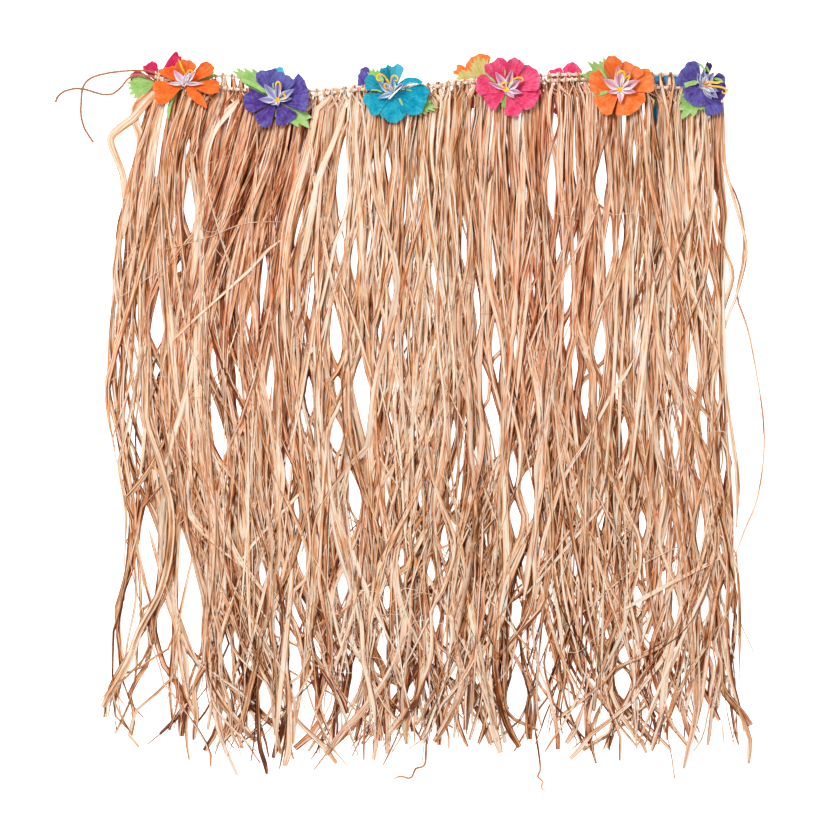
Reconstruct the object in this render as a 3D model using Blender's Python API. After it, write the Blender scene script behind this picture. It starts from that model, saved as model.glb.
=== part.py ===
"""Raffia hula skirt with fabric hibiscus flowers, folded in half and laid flat.

The skirt lies on z = 0 with its waist towards +Y, its fold at +X and its ties at -X.
Two layers of strands hang from the two stretches of one waist cord, six flowers face up
on the front layer, and six face down under the back layer.
Tables are in millimetres; the model is in metres.
"""

import math

import bpy
import bmesh
from mathutils import Vector

MM = 0.001
SEAM = 0.3                  # clearance that neighbouring pieces keep

# Heights of the stack, from the surface up
FLOWER_BED = 6.3            # pressed flowers under the back waist cord
LAYER = 5.0                 # one layer of strands
BAND_HEIGHT = 6.0           # waist cord with the strand heads knotted over it
BAND_WIDTH = 10.0
BAND_ABOVE = 3.0            # part of the band's width that lies above the cord's own line
BACK_BAND = FLOWER_BED
FRONT_BAND = BACK_BAND + BAND_HEIGHT + SEAM
BACK_LAYER = 0.0
FRONT_LAYER = LAYER + SEAM
RAMP_TOP = 322.0            # the strands leave the flowers' height here, and
RAMP_FOOT = 262.0           # lie on the surface from here down

SECTION_STEP = 56.0         # distance between the sections of a hank
COLUMN_WIDTH = 30.0         # a hank's faces are no wider than this at its head
HEAD_GAP = 1.1              # room between the heads of a hank and the curve of the cord
FABRIC = 1.2                # stiffened flower fabric, as a wall
TIE_DIAMETER = 2.2

COLOURS = {
    "raffia": (0.66, 0.42, 0.23),
    "raffia_back": (0.50, 0.29, 0.15),
    "cord": (0.52, 0.32, 0.18),
    "orange": (0.93, 0.20, 0.03),
    "purple": (0.10, 0.04, 0.35),
    "turquoise": (0.01, 0.38, 0.58),
    "pink": (0.80, 0.04, 0.20),
    "leaf": (0.25, 0.60, 0.10),
    "star": (0.72, 0.66, 0.85),
    "stamen": (0.95, 0.50, 0.02),
}

# The line of the waist cord, left to right: X, Y
FRONT_WAIST = (
    (-310, 389), (-274, 380), (-242, 375), (-202, 371), (-167, 367), (-135, 365),
    (-104, 369), (-75, 372), (-33, 374), (5, 375), (57, 381), (97, 382), (137, 382),
    (189, 384), (226, 380), (262, 375), (293, 374), (321, 373), (341, 371),
)
BACK_WAIST = (
    (-310, 394), (-274, 392), (-244, 388), (-227, 389), (-208, 385), (-185, 378),
    (-144, 371), (-104, 373), (-75, 375), (-33, 377), (5, 378), (57, 384), (97, 386),
    (137, 389), (189, 390), (226, 390), (262, 390), (293, 389), (321, 382), (341, 373),
)

# Where each parting between hanks runs: its X at these Y stations, head to hem
STATIONS = (375, 300, 220, 110, 0, -110, -220, -310, -400)
PARTINGS = {
    "left": (-312, -335, -350, -362, -361, -339, -344, -356, -367),
    "A": (-282, -304, -305, -308, -305, -287, -296, -309, -309),
    "B": (-251, -272, -271, -264, -269, -264, -260, -252, -252),
    "C": (-200, -218, -234, -243, -241, -236, -229, -223, -220),
    "D": (-119, -128, -148, -155, -154, -151, -148, -144, -144),
    "E": (-87, -95, -94, -103, -102, -96, -87, -85, -85),
    "F": (-39, -43, -47, -62, -73, -82, -66, -52, -50),
    "G": (17, 5, 6, 10, -9, -18, -18, -11, -6),
    "H": (65, 58, 56, 63, 76, 63, 42, 34, 34),
    "I": (141, 144, 147, 137, 126, 117, 111, 105, 105),
    "J": (203, 203, 210, 198, 188, 187, 194, 202, 203),
    "K": (304, 304, 311, 309, 313, 317, 316, 304, 304),
    "right": (340, 339, 348, 355, 356, 359, 358, 356, 371),
}

# Where a parting gapes open: parting, top Y, bottom Y, widest opening
OPENINGS = (
    ("A", 348, 279, 9), ("A", 141, 57, 10), ("A", -277, -420, 30),
    ("B", 321, 189, 13), ("B", -98, -292, 31), ("C", 86, -64, 13),
    ("D", 166, 114, 7), ("D", -41, -124, 10), ("D", -200, -248, 12),
    ("E", 327, 217, 9), ("E", 136, -47, 20), ("F", 316, 252, 7), ("F", 65, -126, 17),
    ("G", 206, 126, 8), ("G", -150, -220, 10), ("H", 164, 93, 8), ("H", 80, -50, 16),
    ("I", 298, 224, 7), ("I", -62, -202, 15), ("I", -277, -356, 22),
    ("J", 316, 160, 15), ("J", 155, -12, 12), ("J", -317, -372, 18),
    ("K", 109, -1, 9), ("K", -29, -167, 8), ("K", -188, -248, 14),
)

# Hanks from left to right: parting on the left, parting on the right, Y of the hem
FRONT_HANKS = (
    ("left", "A", -377), ("A", "B", -372), ("B", "C", -407), ("C", "D", -415),
    ("D", "E", -407), ("E", "F", -400), ("F", "G", -392), ("G", "H", -386),
    ("H", "I", -388), ("I", "J", -392), ("J", "K", -390), ("K", "right", -388),
)
BACK_HANKS = (
    ("left", "B", -368), ("B", "E", -410), ("E", "G", -396), ("G", "I", -384),
    ("I", "J", -388), ("J", "right", -384),
)
BACK_INSET = 3.0            # the back layer's outer edges lie this far inside the front's

# Flowers on the front layer: colour, X and Y of the hub, and their lobes as
# direction in degrees from +X, reach from the hub, half width in degrees, rise of the tip
FRONT_FLOWERS = (
    {"colour": "orange", "hub": (-279, 379),
     "petals": ((199, 32, 30, 5), (143, 27, 28, 9), (62, 30, 24, 17), (32, 40, 20, 15),
                (-2, 42, 16, 8), (-45, 32, 17, 3)),
     "leaves": ((30, 44, 16, 0), (240, 42, 10, 0)),
     "star": ((133, 20, 24, 16), (176, 19, 12, 10), (82, 14, 22, 20), (45, 18, 20, 17),
              (-2, 19, 12, 10)),
     "stamens": ((112, 29, 9, 24), (65, 12, 16, 23))},
    {"colour": "purple", "hub": (-170, 363),
     "petals": ((176, 37, 33, 6), (130, 37, 28, 12), (65, 32, 32, 16), (22, 38, 32, 12),
                (-66, 30, 33, 4), (232, 31, 30, 4)),
     "leaves": ((146, 62, 13, 0), (-40, 50, 22, 0)),
     "star": ((125, 24, 20, 15), (84, 22, 20, 18), (31, 24, 20, 14), (177, 20, 20, 10),
              (-75, 8, 40, 7)),
     "stamens": ((85, 20, 14, 23), (15, 9, 22, 20))},
    {"colour": "turquoise", "hub": (-36, 367),
     "petals": ((93, 40, 20, 20), (148, 35, 27, 14), (197, 34, 28, 6), (266, 30, 34, 4),
                (-10, 41, 33, 7), (30, 37, 9, 16)),
     "leaves": ((-18, 52, 18, 0), (160, 40, 12, 0)),
     "star": ((137, 21, 22, 14), (85, 14, 24, 20), (37, 17, 18, 18), (192, 16, 20, 11),
              (240, 7, 24, 7)),
     "stamens": ((132, 26, 10, 22), (90, 21, 12, 26), (160, 12, 14, 20))},
    {"colour": "pink", "hub": (93, 375),
     "petals": ((118, 34, 29, 14), (66, 33, 25, 16), (18, 39, 28, 12), (-35, 36, 24, 6),
                (-78, 31, 20, 4), (225, 30, 26, 4), (172, 33, 27, 9)),
     "leaves": ((150, 32, 16, 0), (-85, 33, 16, 0)),
     "star": ((127, 23, 20, 15), (80, 20, 20, 18), (37, 17, 22, 16), (-20, 17, 20, 11),
              (163, 24, 14, 11)),
     "stamens": ((27, 24, 10, 22), (62, 15, 14, 25), (130, 8, 20, 18))},
    {"colour": "orange", "hub": (224, 374),
     "petals": ((163, 35, 30, 9), (107, 36, 22, 17), (35, 38, 36, 13), (-50, 33, 35, 4),
                (222, 33, 32, 4)),
     "leaves": ((137, 52, 22, 0), (195, 34, 14, 0)),
     "star": ((154, 22, 18, 12), (97, 26, 18, 16), (58, 21, 17, 16), (22, 24, 16, 13),
              (-16, 16, 16, 10), (-88, 17, 20, 8), (200, 14, 18, 9)),
     "stamens": ((88, 18, 20, 24), (50, 17, 14, 23))},
    {"colour": "purple", "hub": (320, 377),
     "petals": ((138, 33, 30, 13), (225, 24, 30, 5), (-62, 34, 29, 5), (0, 21, 32, 17),
                (85, 27, 16, 19)),
     "leaves": ((226, 46, 30, 0), (60, 26, 16, 0)),
     "star": ((128, 21, 18, 12), (98, 23, 18, 16), (57, 20, 18, 19), (-18, 18, 18, 22),
              (-50, 21, 18, 14)),
     "stamens": ((12, 19, 10, 28), (-18, 25, 10, 27))},
)

# Flowers pressed face down under the back layer
BACK_FLOWERS = (
    {"colour": "pink", "hub": (-309, 382),
     "petals": ((110, 24, 26, 0), (52, 42, 14, 0), (170, 30, 30, 0), (250, 32, 30, 0),
                (-20, 30, 30, 0)),
     "leaves": ((190, 34, 24, 0), (330, 24, 16, 0))},
    {"colour": "turquoise", "hub": (-173, 368),
     "petals": ((88, 29, 30, 0), (160, 28, 30, 0), (232, 32, 32, 0), (304, 32, 32, 0),
                (16, 28, 30, 0)),
     "leaves": ((200, 30, 18, 0), (20, 24, 18, 0))},
    {"colour": "purple", "hub": (-51, 370),
     "petals": ((132, 36, 22, 0), (80, 24, 28, 0), (205, 30, 30, 0), (277, 42, 26, 0),
                (0, 26, 30, 0)),
     "leaves": ((172, 38, 14, 0), (110, 28, 20, 0))},
    {"colour": "orange", "hub": (60, 380),
     "petals": ((95, 34, 22, 0), (135, 34, 18, 0), (170, 31, 22, 0), (255, 30, 32, 0),
                (-10, 28, 32, 0)),
     "leaves": ((108, 32, 20, 0), (166, 34, 22, 0))},
    {"colour": "pink", "hub": (163, 374),
     "petals": ((75, 31, 28, 0), (128, 30, 24, 0), (200, 27, 28, 0), (262, 33, 26, 0),
                (-10, 28, 30, 0)),
     "leaves": ((35, 32, 20, 0), (215, 26, 18, 0))},
    {"colour": "turquoise", "hub": (272, 374),
     "petals": ((100, 25, 30, 0), (28, 30, 30, 0), (172, 25, 30, 0), (262, 50, 18, 0),
                (-30, 28, 30, 0)),
     "leaves": ((235, 34, 20, 0), (310, 28, 18, 0))},
)

# How each cut piece is shaped: fullness of a lobe (1 pointed, 2.6 round), how far past its
# half width it spreads, hub radius, ruffle of the rim, the piece that its lobes stay above,
# the power of the curve that it rises by, and where its rings of points lie from hub to rim
CUTS = {
    "petals": {"fullness": 2.6, "spread": 1.35, "hub": 6.0, "ruffle": 0.8, "over": None,
               "curve": 1.4, "rings": (0.0, 0.5, 1.0)},
    "leaves": {"fullness": 1.2, "spread": 1.0, "hub": 6.0, "ruffle": 0.0, "over": None,
               "curve": 1.4, "rings": (0.5, 1.0)},
    "star": {"fullness": 1.0, "spread": 1.0, "hub": 4.5, "ruffle": 0.0, "over": "petals",
             "curve": 1.2, "rings": (0.0, 1.0)},
    "stamens": {"fullness": 1.0, "spread": 1.0, "hub": 2.6, "ruffle": 0.0, "over": "star",
                "curve": 0.6, "rings": (0.0, 0.4, 1.0)},
}
LOBE_CLEARANCE = 2.4        # room that a lobe keeps above the piece it springs from
PRESSED_DISH = 3.1          # a flower that faces down rests on its rim, with its hub this high
RIM_FLAT = 1.15             # above 1, the outermost part of its petals lies flat

# Free ends of the waist cord, from the cord outwards: X, Y, Z of the centre line
TIE_UPPER = (
    (-310.7, 392, 9.3), (-322, 394.5, 9.0), (-335, 395, 8.4), (-345, 394.5, 7.4),
    (-358, 393.5, 3.6), (-368, 392, 1.5), (-378, 389.5, 1.2), (-386, 386, 1.2),
    (-392, 380, 1.2), (-395, 371, 1.2), (-396, 357, 1.2), (-396, 344, 1.2),
    (-392, 329, 1.2), (-382, 313, 1.2),
)
TIE_LOWER = (
    (-310.7, 387, 15.6), (-322, 388.5, 14.0), (-332, 389.5, 10.5), (-341, 386, 8.0),
    (-348, 378, 5.4), (-354, 372.5, 2.6), (-361, 368.5, 1.3), (-370, 368, 1.2),
    (-379, 370, 1.8), (-387, 372.5, 3.1), (-395, 374.3, 3.9), (-403, 374.6, 3.1),
    (-411, 373, 1.8), (-418, 370, 1.2), (-423, 365, 1.2), (-425.5, 359, 1.2),
)
TIE_POINTS = 26
HEM_NOTCH = 14.0            # how far the uneven strand ends rise from the hem
HEM_PITCH = 52.0

HEAD_DROP = BAND_WIDTH - BAND_ABOVE + HEAD_GAP      # from the cord's line to the hanks' heads
HEAD = STATIONS[0] - HEAD_DROP


def clear_scene():
    for thing in list(bpy.data.objects):
        bpy.data.objects.remove(thing, do_unlink=True)


def part_collection():
    collection = bpy.data.collections.new("raffia_hula_skirt")
    bpy.context.scene.collection.children.link(collection)
    return collection


def finish_part(thing, collection, colour, roughness):
    """Link the piece and give it its own Principled material."""
    material = bpy.data.materials.new(thing.name + "_material")
    material.use_nodes = True
    shader = material.node_tree.nodes["Principled BSDF"]
    shader.inputs["Base Color"].default_value = (*COLOURS[colour], 1.0)
    shader.inputs["Roughness"].default_value = roughness
    shader.inputs["Metallic"].default_value = 0.0
    thing.data.materials.append(material)
    collection.objects.link(thing)
    return thing


def smooth_through(stations, values, place):
    """A smooth curve through values at rising or falling stations, read at a place."""
    falling = stations[0] > stations[-1]
    if falling:
        stations = stations[::-1]
        values = values[::-1]
    place = min(max(place, stations[0]), stations[-1])
    last = len(stations) - 1
    i = 0
    while i < last - 1 and place > stations[i + 1]:
        i += 1
    span = stations[i + 1] - stations[i]
    t = (place - stations[i]) / span

    def slope(k):
        low = max(k - 1, 0)
        high = min(k + 1, last)
        return (values[high] - values[low]) / (stations[high] - stations[low]) * span

    start = slope(i)
    end = slope(i + 1)
    return (values[i] * (2 * t**3 - 3 * t**2 + 1) + values[i + 1] * (3 * t**2 - 2 * t**3)
            + start * (t**3 - 2 * t**2 + t) + end * (t**3 - t**2))


def line_height(line, x):
    """Y of a waist cord's line at X."""
    return smooth_through([p[0] for p in line], [p[1] for p in line], x)


def loft(sections):
    """A closed mesh through sections with the same number of points, in millimetres."""
    shape = bmesh.new()
    rings = [[shape.verts.new(Vector(point) * MM) for point in section] for section in sections]
    count = len(rings[0])
    for ring, following in zip(rings, rings[1:]):
        for k in range(count):
            after = (k + 1) % count
            shape.faces.new((ring[k], ring[after], following[after], following[k]))
    shape.faces.new(rings[0][::-1])
    shape.faces.new(rings[-1])
    return closed_mesh(shape)


def closed_mesh(shape):
    """Triangulate, turn every face outwards and round the look of soft edges."""
    bmesh.ops.triangulate(shape, faces=shape.faces[:])
    bmesh.ops.recalc_face_normals(shape, faces=shape.faces[:])
    mesh = bpy.data.meshes.new("piece")
    shape.to_mesh(mesh)
    shape.free()
    mesh.shade_smooth()
    mesh.set_sharp_from_angle(angle=math.radians(40))
    return mesh


def bundle_section(left, right, y_of, bottom, top, columns):
    """Flattened section of a bundle between X left and right, with bevelled sides."""
    bevel = min(3.0, (right - left) / 4)
    inner = right - left - 2 * bevel
    across = [left + bevel + inner * k / columns for k in range(columns + 1)]
    middle = (bottom + top) / 2
    corners = [(left, middle)] + [(x, bottom) for x in across]
    corners += [(right, middle)] + [(x, top) for x in reversed(across)]
    return [(x, y_of(x), z) for x, z in corners]


def half_opening(parting, y):
    """Half the width that a parting stands open at Y."""
    half = SEAM / 2
    for name, top, bottom, width in OPENINGS:
        if name == parting and bottom < y < top:
            half += width / 2 * math.sin(math.pi * (top - y) / (top - bottom))
    return half


def hank_edge(parting, side, y):
    """X of a hank's edge beside a parting, straight between the sections that all hanks share."""
    step = int((HEAD - y) / SECTION_STEP)
    t = (HEAD - y) / SECTION_STEP - step
    ends = []
    for level in (HEAD - step * SECTION_STEP, HEAD - (step + 1) * SECTION_STEP):
        middle = smooth_through(STATIONS, PARTINGS[parting], level)
        ends.append(middle + side * half_opening(parting, level))
    return ends[0] + (ends[1] - ends[0]) * t


def ramp(y):
    """1 where strands lie over the pressed flowers, 0 where they lie on the surface."""
    t = min(max((y - RAMP_FOOT) / (RAMP_TOP - RAMP_FOOT), 0.0), 1.0)
    return t * t * (3 - 2 * t)


def hank(name, row, waist, layer_low, layer_high, inset, collection, colour):
    """One hank of strands, from under the waist cord to its hem."""
    left_parting, right_parting, hem = row
    head_width = PARTINGS[right_parting][0] - PARTINGS[left_parting][0]
    columns = math.ceil(head_width / COLUMN_WIDTH)
    steps = math.ceil((HEAD - hem) / SECTION_STEP)
    sections = []
    for step in range(steps + 1):
        y = max(HEAD - step * SECTION_STEP, hem)
        left = hank_edge(left_parting, 1, y) + (inset if left_parting == "left" else 0)
        right = hank_edge(right_parting, -1, y) - (inset if right_parting == "right" else 0)
        low = layer_low + (layer_high - layer_low) * ramp(y)
        high = low + LAYER
        if step == 0:
            def y_of(x):
                return line_height(waist, x) - HEAD_DROP
        elif step == steps:
            last_step = HEAD - (step - 1) * SECTION_STEP - hem

            def y_of(x, level=y, depth=min(HEM_NOTCH, last_step / 2)):
                return level + depth * abs(math.sin(math.pi * x / HEM_PITCH))
        else:
            def y_of(x, level=y):
                return level
        sections.append(bundle_section(left, right, y_of, low, high, columns))
    thing = bpy.data.objects.new(name, loft(sections))
    return finish_part(thing, collection, colour, 0.6)


def waist_band(name, line, bottom, collection):
    """A stretch of the waist cord with the strand heads knotted over it."""
    xs = [p[0] for p in line]
    steps = 30
    sections = []
    for step in range(steps + 1):
        x = xs[0] + (xs[-1] - xs[0]) * step / steps
        y = line_height(line, x)
        high_edge = y + BAND_ABOVE
        low_edge = high_edge - BAND_WIDTH
        middle = bottom + BAND_HEIGHT / 2
        top = bottom + BAND_HEIGHT
        sections.append([
            (x, low_edge, middle), (x, low_edge + 2, bottom), (x, high_edge - 2, bottom),
            (x, high_edge, middle), (x, high_edge - 2, top), (x, low_edge + 2, top),
        ])
    thing = bpy.data.objects.new(name, loft(sections))
    return finish_part(thing, collection, "cord", 0.65)


def lobe_directions(lobes, pointed):
    """Directions in degrees that the outline needs: tips, flanks and notches."""
    marks = []
    for direction, _, half_width, _ in lobes:
        offsets = (-1.0, 0.0, 1.0) if pointed else (-0.95, -0.5, 0.0, 0.5, 0.95)
        marks += [(direction + half_width * k) % 360 for k in offsets]
    marks.sort()
    kept = []
    for mark in marks:
        if not kept or mark - kept[-1] > 6:
            kept.append(mark)
    wide = [(kept[i], (kept[(i + 1) % len(kept)] - kept[i]) % 360) for i in range(len(kept))]
    for mark, gap in wide:
        extra = int(gap // 50)
        kept += [(mark + gap * (k + 1) / (extra + 1)) % 360 for k in range(extra)]
    return sorted(kept)


def lobe_at(lobes, cut, angle):
    """Reach and rise of the lobed outline in one direction."""
    reach = cut["hub"]
    weights = 0.0
    rise = 0.0
    for direction, length, half_width, tip_rise in lobes:
        turn = abs((angle - direction + 180) % 360 - 180)
        share = max(0.0, 1 - (turn / half_width / cut["spread"]) ** cut["fullness"])
        if cut["fullness"] > 2:
            share = math.sqrt(share)
        reach = max(reach, cut["hub"] + (length - cut["hub"]) * share)
        weight = 1 / (turn + 4) ** 2
        weights += weight
        rise += weight * tip_rise
    return reach, rise / weights


def lift_at(flower, kind, radius, angle):
    """How far a cut piece has risen from its hub, clear of the piece that it sits on."""
    cut = CUTS[kind]
    lobes = flower[kind]
    reach, rise = lobe_at(lobes, cut, angle)
    spread = max(reach - cut["hub"], 0.1)
    share = min(max((radius - cut["hub"]) / spread, 0.0), 1.0)
    longest = max(row[1] for row in lobes) - cut["hub"]
    lift = rise * share ** cut["curve"] * spread / longest
    if cut["over"] and radius > cut["hub"]:
        lift = max(lift, lift_at(flower, cut["over"], radius, angle) + LOBE_CLEARANCE)
    return lift


def lobed_sheet(name, kind, flower, bottom, dish, collection, colour):
    """A cut fabric piece: lobes round a hub that rise, or droop by a dish, to their tips."""
    cut = CUTS[kind]
    lobes = flower[kind]
    hub_x, hub_y = flower["hub"]
    shape = bmesh.new()

    def point(radius, angle, z):
        x = hub_x + radius * math.cos(math.radians(angle))
        y = hub_y + radius * math.sin(math.radians(angle))
        return shape.verts.new(Vector((x, y, z)) * MM)

    directions = lobe_directions(lobes, cut["fullness"] <= 1.0)
    faces = []
    for side in (0.0, FABRIC):
        centre = point(0.0, 0.0, bottom + side)
        rings = []
        for share in cut["rings"]:
            ring = []
            for index, angle in enumerate(directions):
                reach = lobe_at(lobes, cut, angle)[0]
                radius = cut["hub"] + (reach - cut["hub"]) * share
                lift = lift_at(flower, kind, radius, angle)
                lift -= dish * min(1.0, radius / reach * RIM_FLAT) ** cut["curve"]
                if share == 1.0 and index % 2:
                    lift += cut["ruffle"]
                ring.append(point(radius, angle, bottom + side + lift))
            rings.append(ring)
        faces.append((centre, rings))
    count = len(directions)
    for k in range(count):
        after = (k + 1) % count
        for centre, rings in faces:
            shape.faces.new((centre, rings[0][k], rings[0][after]))
            for ring, outer in zip(rings, rings[1:]):
                shape.faces.new((ring[k], outer[k], outer[after], ring[after]))
        under = faces[0][1][-1]
        over = faces[1][1][-1]
        shape.faces.new((under[k], under[after], over[after], over[k]))
    thing = bpy.data.objects.new(name, closed_mesh(shape))
    return finish_part(thing, collection, colour, 0.7)


def flower_pieces(prefix, flower, kinds, base, dish, collection):
    """The cut pieces of one flower, stacked from the base up."""
    bottom = base
    for kind in kinds:
        colour = flower["colour"] if kind == "petals" else kind.replace("leaves", "leaf")
        colour = colour.replace("stamens", "stamen")
        bend = dish if kind == "petals" else 0.0
        lobed_sheet(f"{prefix}_{kind}", kind, flower, bottom, bend, collection, colour)
        bottom += FABRIC + SEAM


def tie(name, route, collection):
    """A free tail of the waist cord, round, with closed ends."""
    count = len(route)
    lengths = [0.0]
    for before, after in zip(route, route[1:]):
        lengths.append(lengths[-1] + (Vector(after) - Vector(before)).length)
    curve = bpy.data.curves.new(name, "CURVE")
    curve.dimensions = "3D"
    curve.bevel_depth = TIE_DIAMETER / 2 * MM
    curve.bevel_resolution = 2
    curve.use_fill_caps = True
    spline = curve.splines.new("POLY")
    spline.points.add(TIE_POINTS - 1)
    axes = [[route[k][axis] for k in range(count)] for axis in range(3)]
    for k in range(TIE_POINTS):
        at = lengths[-1] * k / (TIE_POINTS - 1)
        place = [smooth_through(lengths, axis, at) * MM for axis in axes]
        spline.points[k].co = (*place, 1.0)
    thing = bpy.data.objects.new(name, curve)
    return finish_part(thing, collection, "cord", 0.6)


def build():
    clear_scene()
    collection = part_collection()
    waist_band("waist_cord_back", BACK_WAIST, BACK_BAND, collection)
    waist_band("waist_cord_front", FRONT_WAIST, FRONT_BAND, collection)
    for number, row in enumerate(BACK_HANKS, 1):
        hank(f"back_hank_{number:02d}", row, BACK_WAIST, BACK_LAYER, BACK_BAND,
             BACK_INSET, collection, "raffia_back")
    for number, row in enumerate(FRONT_HANKS, 1):
        hank(f"front_hank_{number:02d}", row, FRONT_WAIST, FRONT_LAYER, FRONT_BAND,
             0.0, collection, "raffia")
    on_top = FRONT_BAND + BAND_HEIGHT + SEAM
    for number, flower in enumerate(FRONT_FLOWERS, 1):
        flower_pieces(f"front_flower_{number}", flower,
                      ("leaves", "petals", "star", "stamens"), on_top, 0.0, collection)
    for number, flower in enumerate(BACK_FLOWERS, 1):
        flower_pieces(f"back_flower_{number}", flower, ("petals", "leaves"),
                      PRESSED_DISH, PRESSED_DISH, collection)
    tie("tie_upper", TIE_UPPER, collection)
    tie("tie_lower", TIE_LOWER, collection)


build()
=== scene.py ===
"""A raffia hula skirt with twelve fabric hibiscus flowers, folded in half and laid flat.

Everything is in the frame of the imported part: +Y to the waist, +X to the fold, z = 0 the table.
Sizes are in millimetres and become metres where a mesh is made.
"""

import math

import bpy
import numpy as np
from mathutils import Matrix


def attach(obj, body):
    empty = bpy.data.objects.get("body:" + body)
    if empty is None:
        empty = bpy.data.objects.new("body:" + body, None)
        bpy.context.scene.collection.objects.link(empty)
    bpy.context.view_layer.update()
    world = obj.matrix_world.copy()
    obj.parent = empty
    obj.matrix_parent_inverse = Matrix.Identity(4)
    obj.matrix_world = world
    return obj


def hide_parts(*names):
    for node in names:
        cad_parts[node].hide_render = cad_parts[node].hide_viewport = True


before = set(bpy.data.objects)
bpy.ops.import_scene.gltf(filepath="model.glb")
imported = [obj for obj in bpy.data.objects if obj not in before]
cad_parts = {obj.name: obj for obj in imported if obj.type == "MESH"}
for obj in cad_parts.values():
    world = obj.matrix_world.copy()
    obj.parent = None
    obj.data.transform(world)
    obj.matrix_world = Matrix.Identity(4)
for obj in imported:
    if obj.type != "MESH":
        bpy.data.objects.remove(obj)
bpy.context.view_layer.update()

# --- Camera --------------------------------------------------------------------------------
# Straight above the skirt with the waist at the top, far off with a long lens, so that the
# flowers that stand up from the waist keep their places over the strands.
MM = 0.001
CAMERA_HEIGHT = 5000.0
SURFACE_SEEN = 948.75               # the square frame takes in this much of the table
VIEW_MIDDLE = (-14.95, 2.3)         # over the middle of the skirt and its tie cords together

lens = bpy.data.cameras.new("camera")
lens.sensor_width = 36
lens.lens = lens.sensor_width * CAMERA_HEIGHT / SURFACE_SEEN
lens.clip_end = 20
camera = bpy.data.objects.new("camera", lens)
camera.location = (VIEW_MIDDLE[0] * MM, VIEW_MIDDLE[1] * MM, CAMERA_HEIGHT * MM)
bpy.context.scene.collection.objects.link(camera)
bpy.context.scene.camera = camera
bpy.context.scene.view_settings.view_transform = "Standard"

# --- Tie cords -----------------------------------------------------------------------------
# The two free ends of the waist cord, knotted off at the left. Each is three plies of raffia
# twisted together, 2.5 mm thick, limp, lying loose on the table with a bare cut end.
TIE_THICK = 2.5
TIE_PITCH = 9.0                     # one full turn of the three plies
TIE_PLIES = 3
UNEVEN = (23.0, 5.3)                # a twist made by hand varies over these lengths
# X, Y and Z of the cords' middles, from the knot to the cut end
TIE_UPPER = (
    (-310.7, 392, 9.3), (-322, 394.5, 9.0), (-335, 395, 8.4), (-345, 394.5, 7.4),
    (-358, 393.5, 3.6), (-368, 392, 1.7), (-378, 389.5, 1.4), (-386, 386, 1.4),
    (-392, 380, 1.4), (-395, 371, 1.4), (-396, 357, 1.4), (-396, 344, 1.4),
    (-392, 329, 1.4), (-382, 313, 1.4),
)
TIE_LOWER = (
    (-310.7, 387, 15.6), (-322, 388.5, 14.0), (-332, 389.5, 10.5), (-341, 386, 8.0),
    (-348, 378, 5.4), (-354, 372.5, 2.8), (-361, 368.5, 1.5), (-370, 368, 1.4),
    (-379, 370, 2.0), (-387, 372.5, 3.3), (-395, 374.3, 4.1), (-403, 374.6, 3.3),
    (-411, 373, 2.0), (-418, 370, 1.4), (-423, 365, 1.4), (-425.5, 359, 1.4),
)


def linear(code):
    """An sRGB hex colour as linear red, green, blue and alpha."""
    parts = [int(code[k:k + 2], 16) / 255 for k in (1, 3, 5)]
    return tuple(c / 12.92 if c <= 0.04045 else ((c + 0.055) / 1.055) ** 2.4 for c in parts) + (1,)


def plug(tree, node, sockets):
    """Sets sockets of a node: a value is set on it, and an output is linked to it."""
    for key, value in sockets.items():
        if isinstance(value, bpy.types.NodeSocket):
            tree.links.new(value, node.inputs[key])
        else:
            node.inputs[key].default_value = value


def add(tree, kind, sockets, output=0, stops=(), **settings):
    """Adds a node and gives back an output of it. stops are a ramp's places and hex colours."""
    node = tree.nodes.new("ShaderNode" + kind)
    for key, value in settings.items():
        setattr(node, key, value)
    plug(tree, node, sockets)
    if stops:
        line = node.color_ramp.elements
        while len(line) < len(stops):
            line.new(0.5)
        for element, (place, code) in zip(line, stops):
            element.position = place
            element.color = linear(code)
    return node.outputs[output]


def grain(tree, place, scale, detail):
    """Noise at a place in millimetres, with so many spots to the millimetre each way."""
    scaled = add(tree, "VectorMath", {0: place, 1: scale}, operation="MULTIPLY")
    return add(tree, "TexNoise", {"Vector": scaled, "Scale": 1.0, "Detail": detail})


def total(tree, plus, *parts):
    """A number, and patterns times their shares, all summed."""
    for pattern, share in parts:
        plus = add(tree, "Math", {0: pattern, 1: share, 2: plus}, operation="MULTIPLY_ADD")
    return plus


def new_material(name, *fields):
    """A new material, its node tree, its Principled shader and the fields it reads off the mesh."""
    material = bpy.data.materials.new(name)
    material.use_nodes = True
    tree = material.node_tree
    read = [add(tree, "Attribute", {}, "Vector", attribute_name=field) for field in fields]
    return material, tree, tree.nodes["Principled BSDF"], *read


def smooth_path(points, step):
    """A smooth curve through the points, read about every step, with its running length."""
    points = np.array(points, float)
    slope = np.gradient(points, axis=0)
    out = []
    for k in range(len(points) - 1):
        count = max(2, math.ceil(np.linalg.norm(points[k + 1] - points[k]) / step))
        t = (np.arange(count) / count)[:, None]
        out.append(points[k] * (2 * t**3 - 3 * t**2 + 1) + points[k + 1] * (3 * t**2 - 2 * t**3)
                   + slope[k] * (t**3 - 2 * t**2 + t) + slope[k + 1] * (t**3 - t**2))
    line = np.vstack(out + [points[-1:]])
    gone = np.concatenate([[0], np.cumsum(np.linalg.norm(np.diff(line, axis=0), axis=1))])
    return line, gone


def square_to(line):
    """Directions along a line, to its side and upwards, for a line that isn't vertical."""
    along = np.gradient(line, axis=-2)
    along /= np.linalg.norm(along, axis=-1, keepdims=True)
    side = np.stack([-along[..., 1], along[..., 0], np.zeros_like(along[..., 0])], axis=-1)
    side /= np.linalg.norm(side, axis=-1, keepdims=True) + 1e-9
    return along, side, np.cross(along, side)


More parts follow.
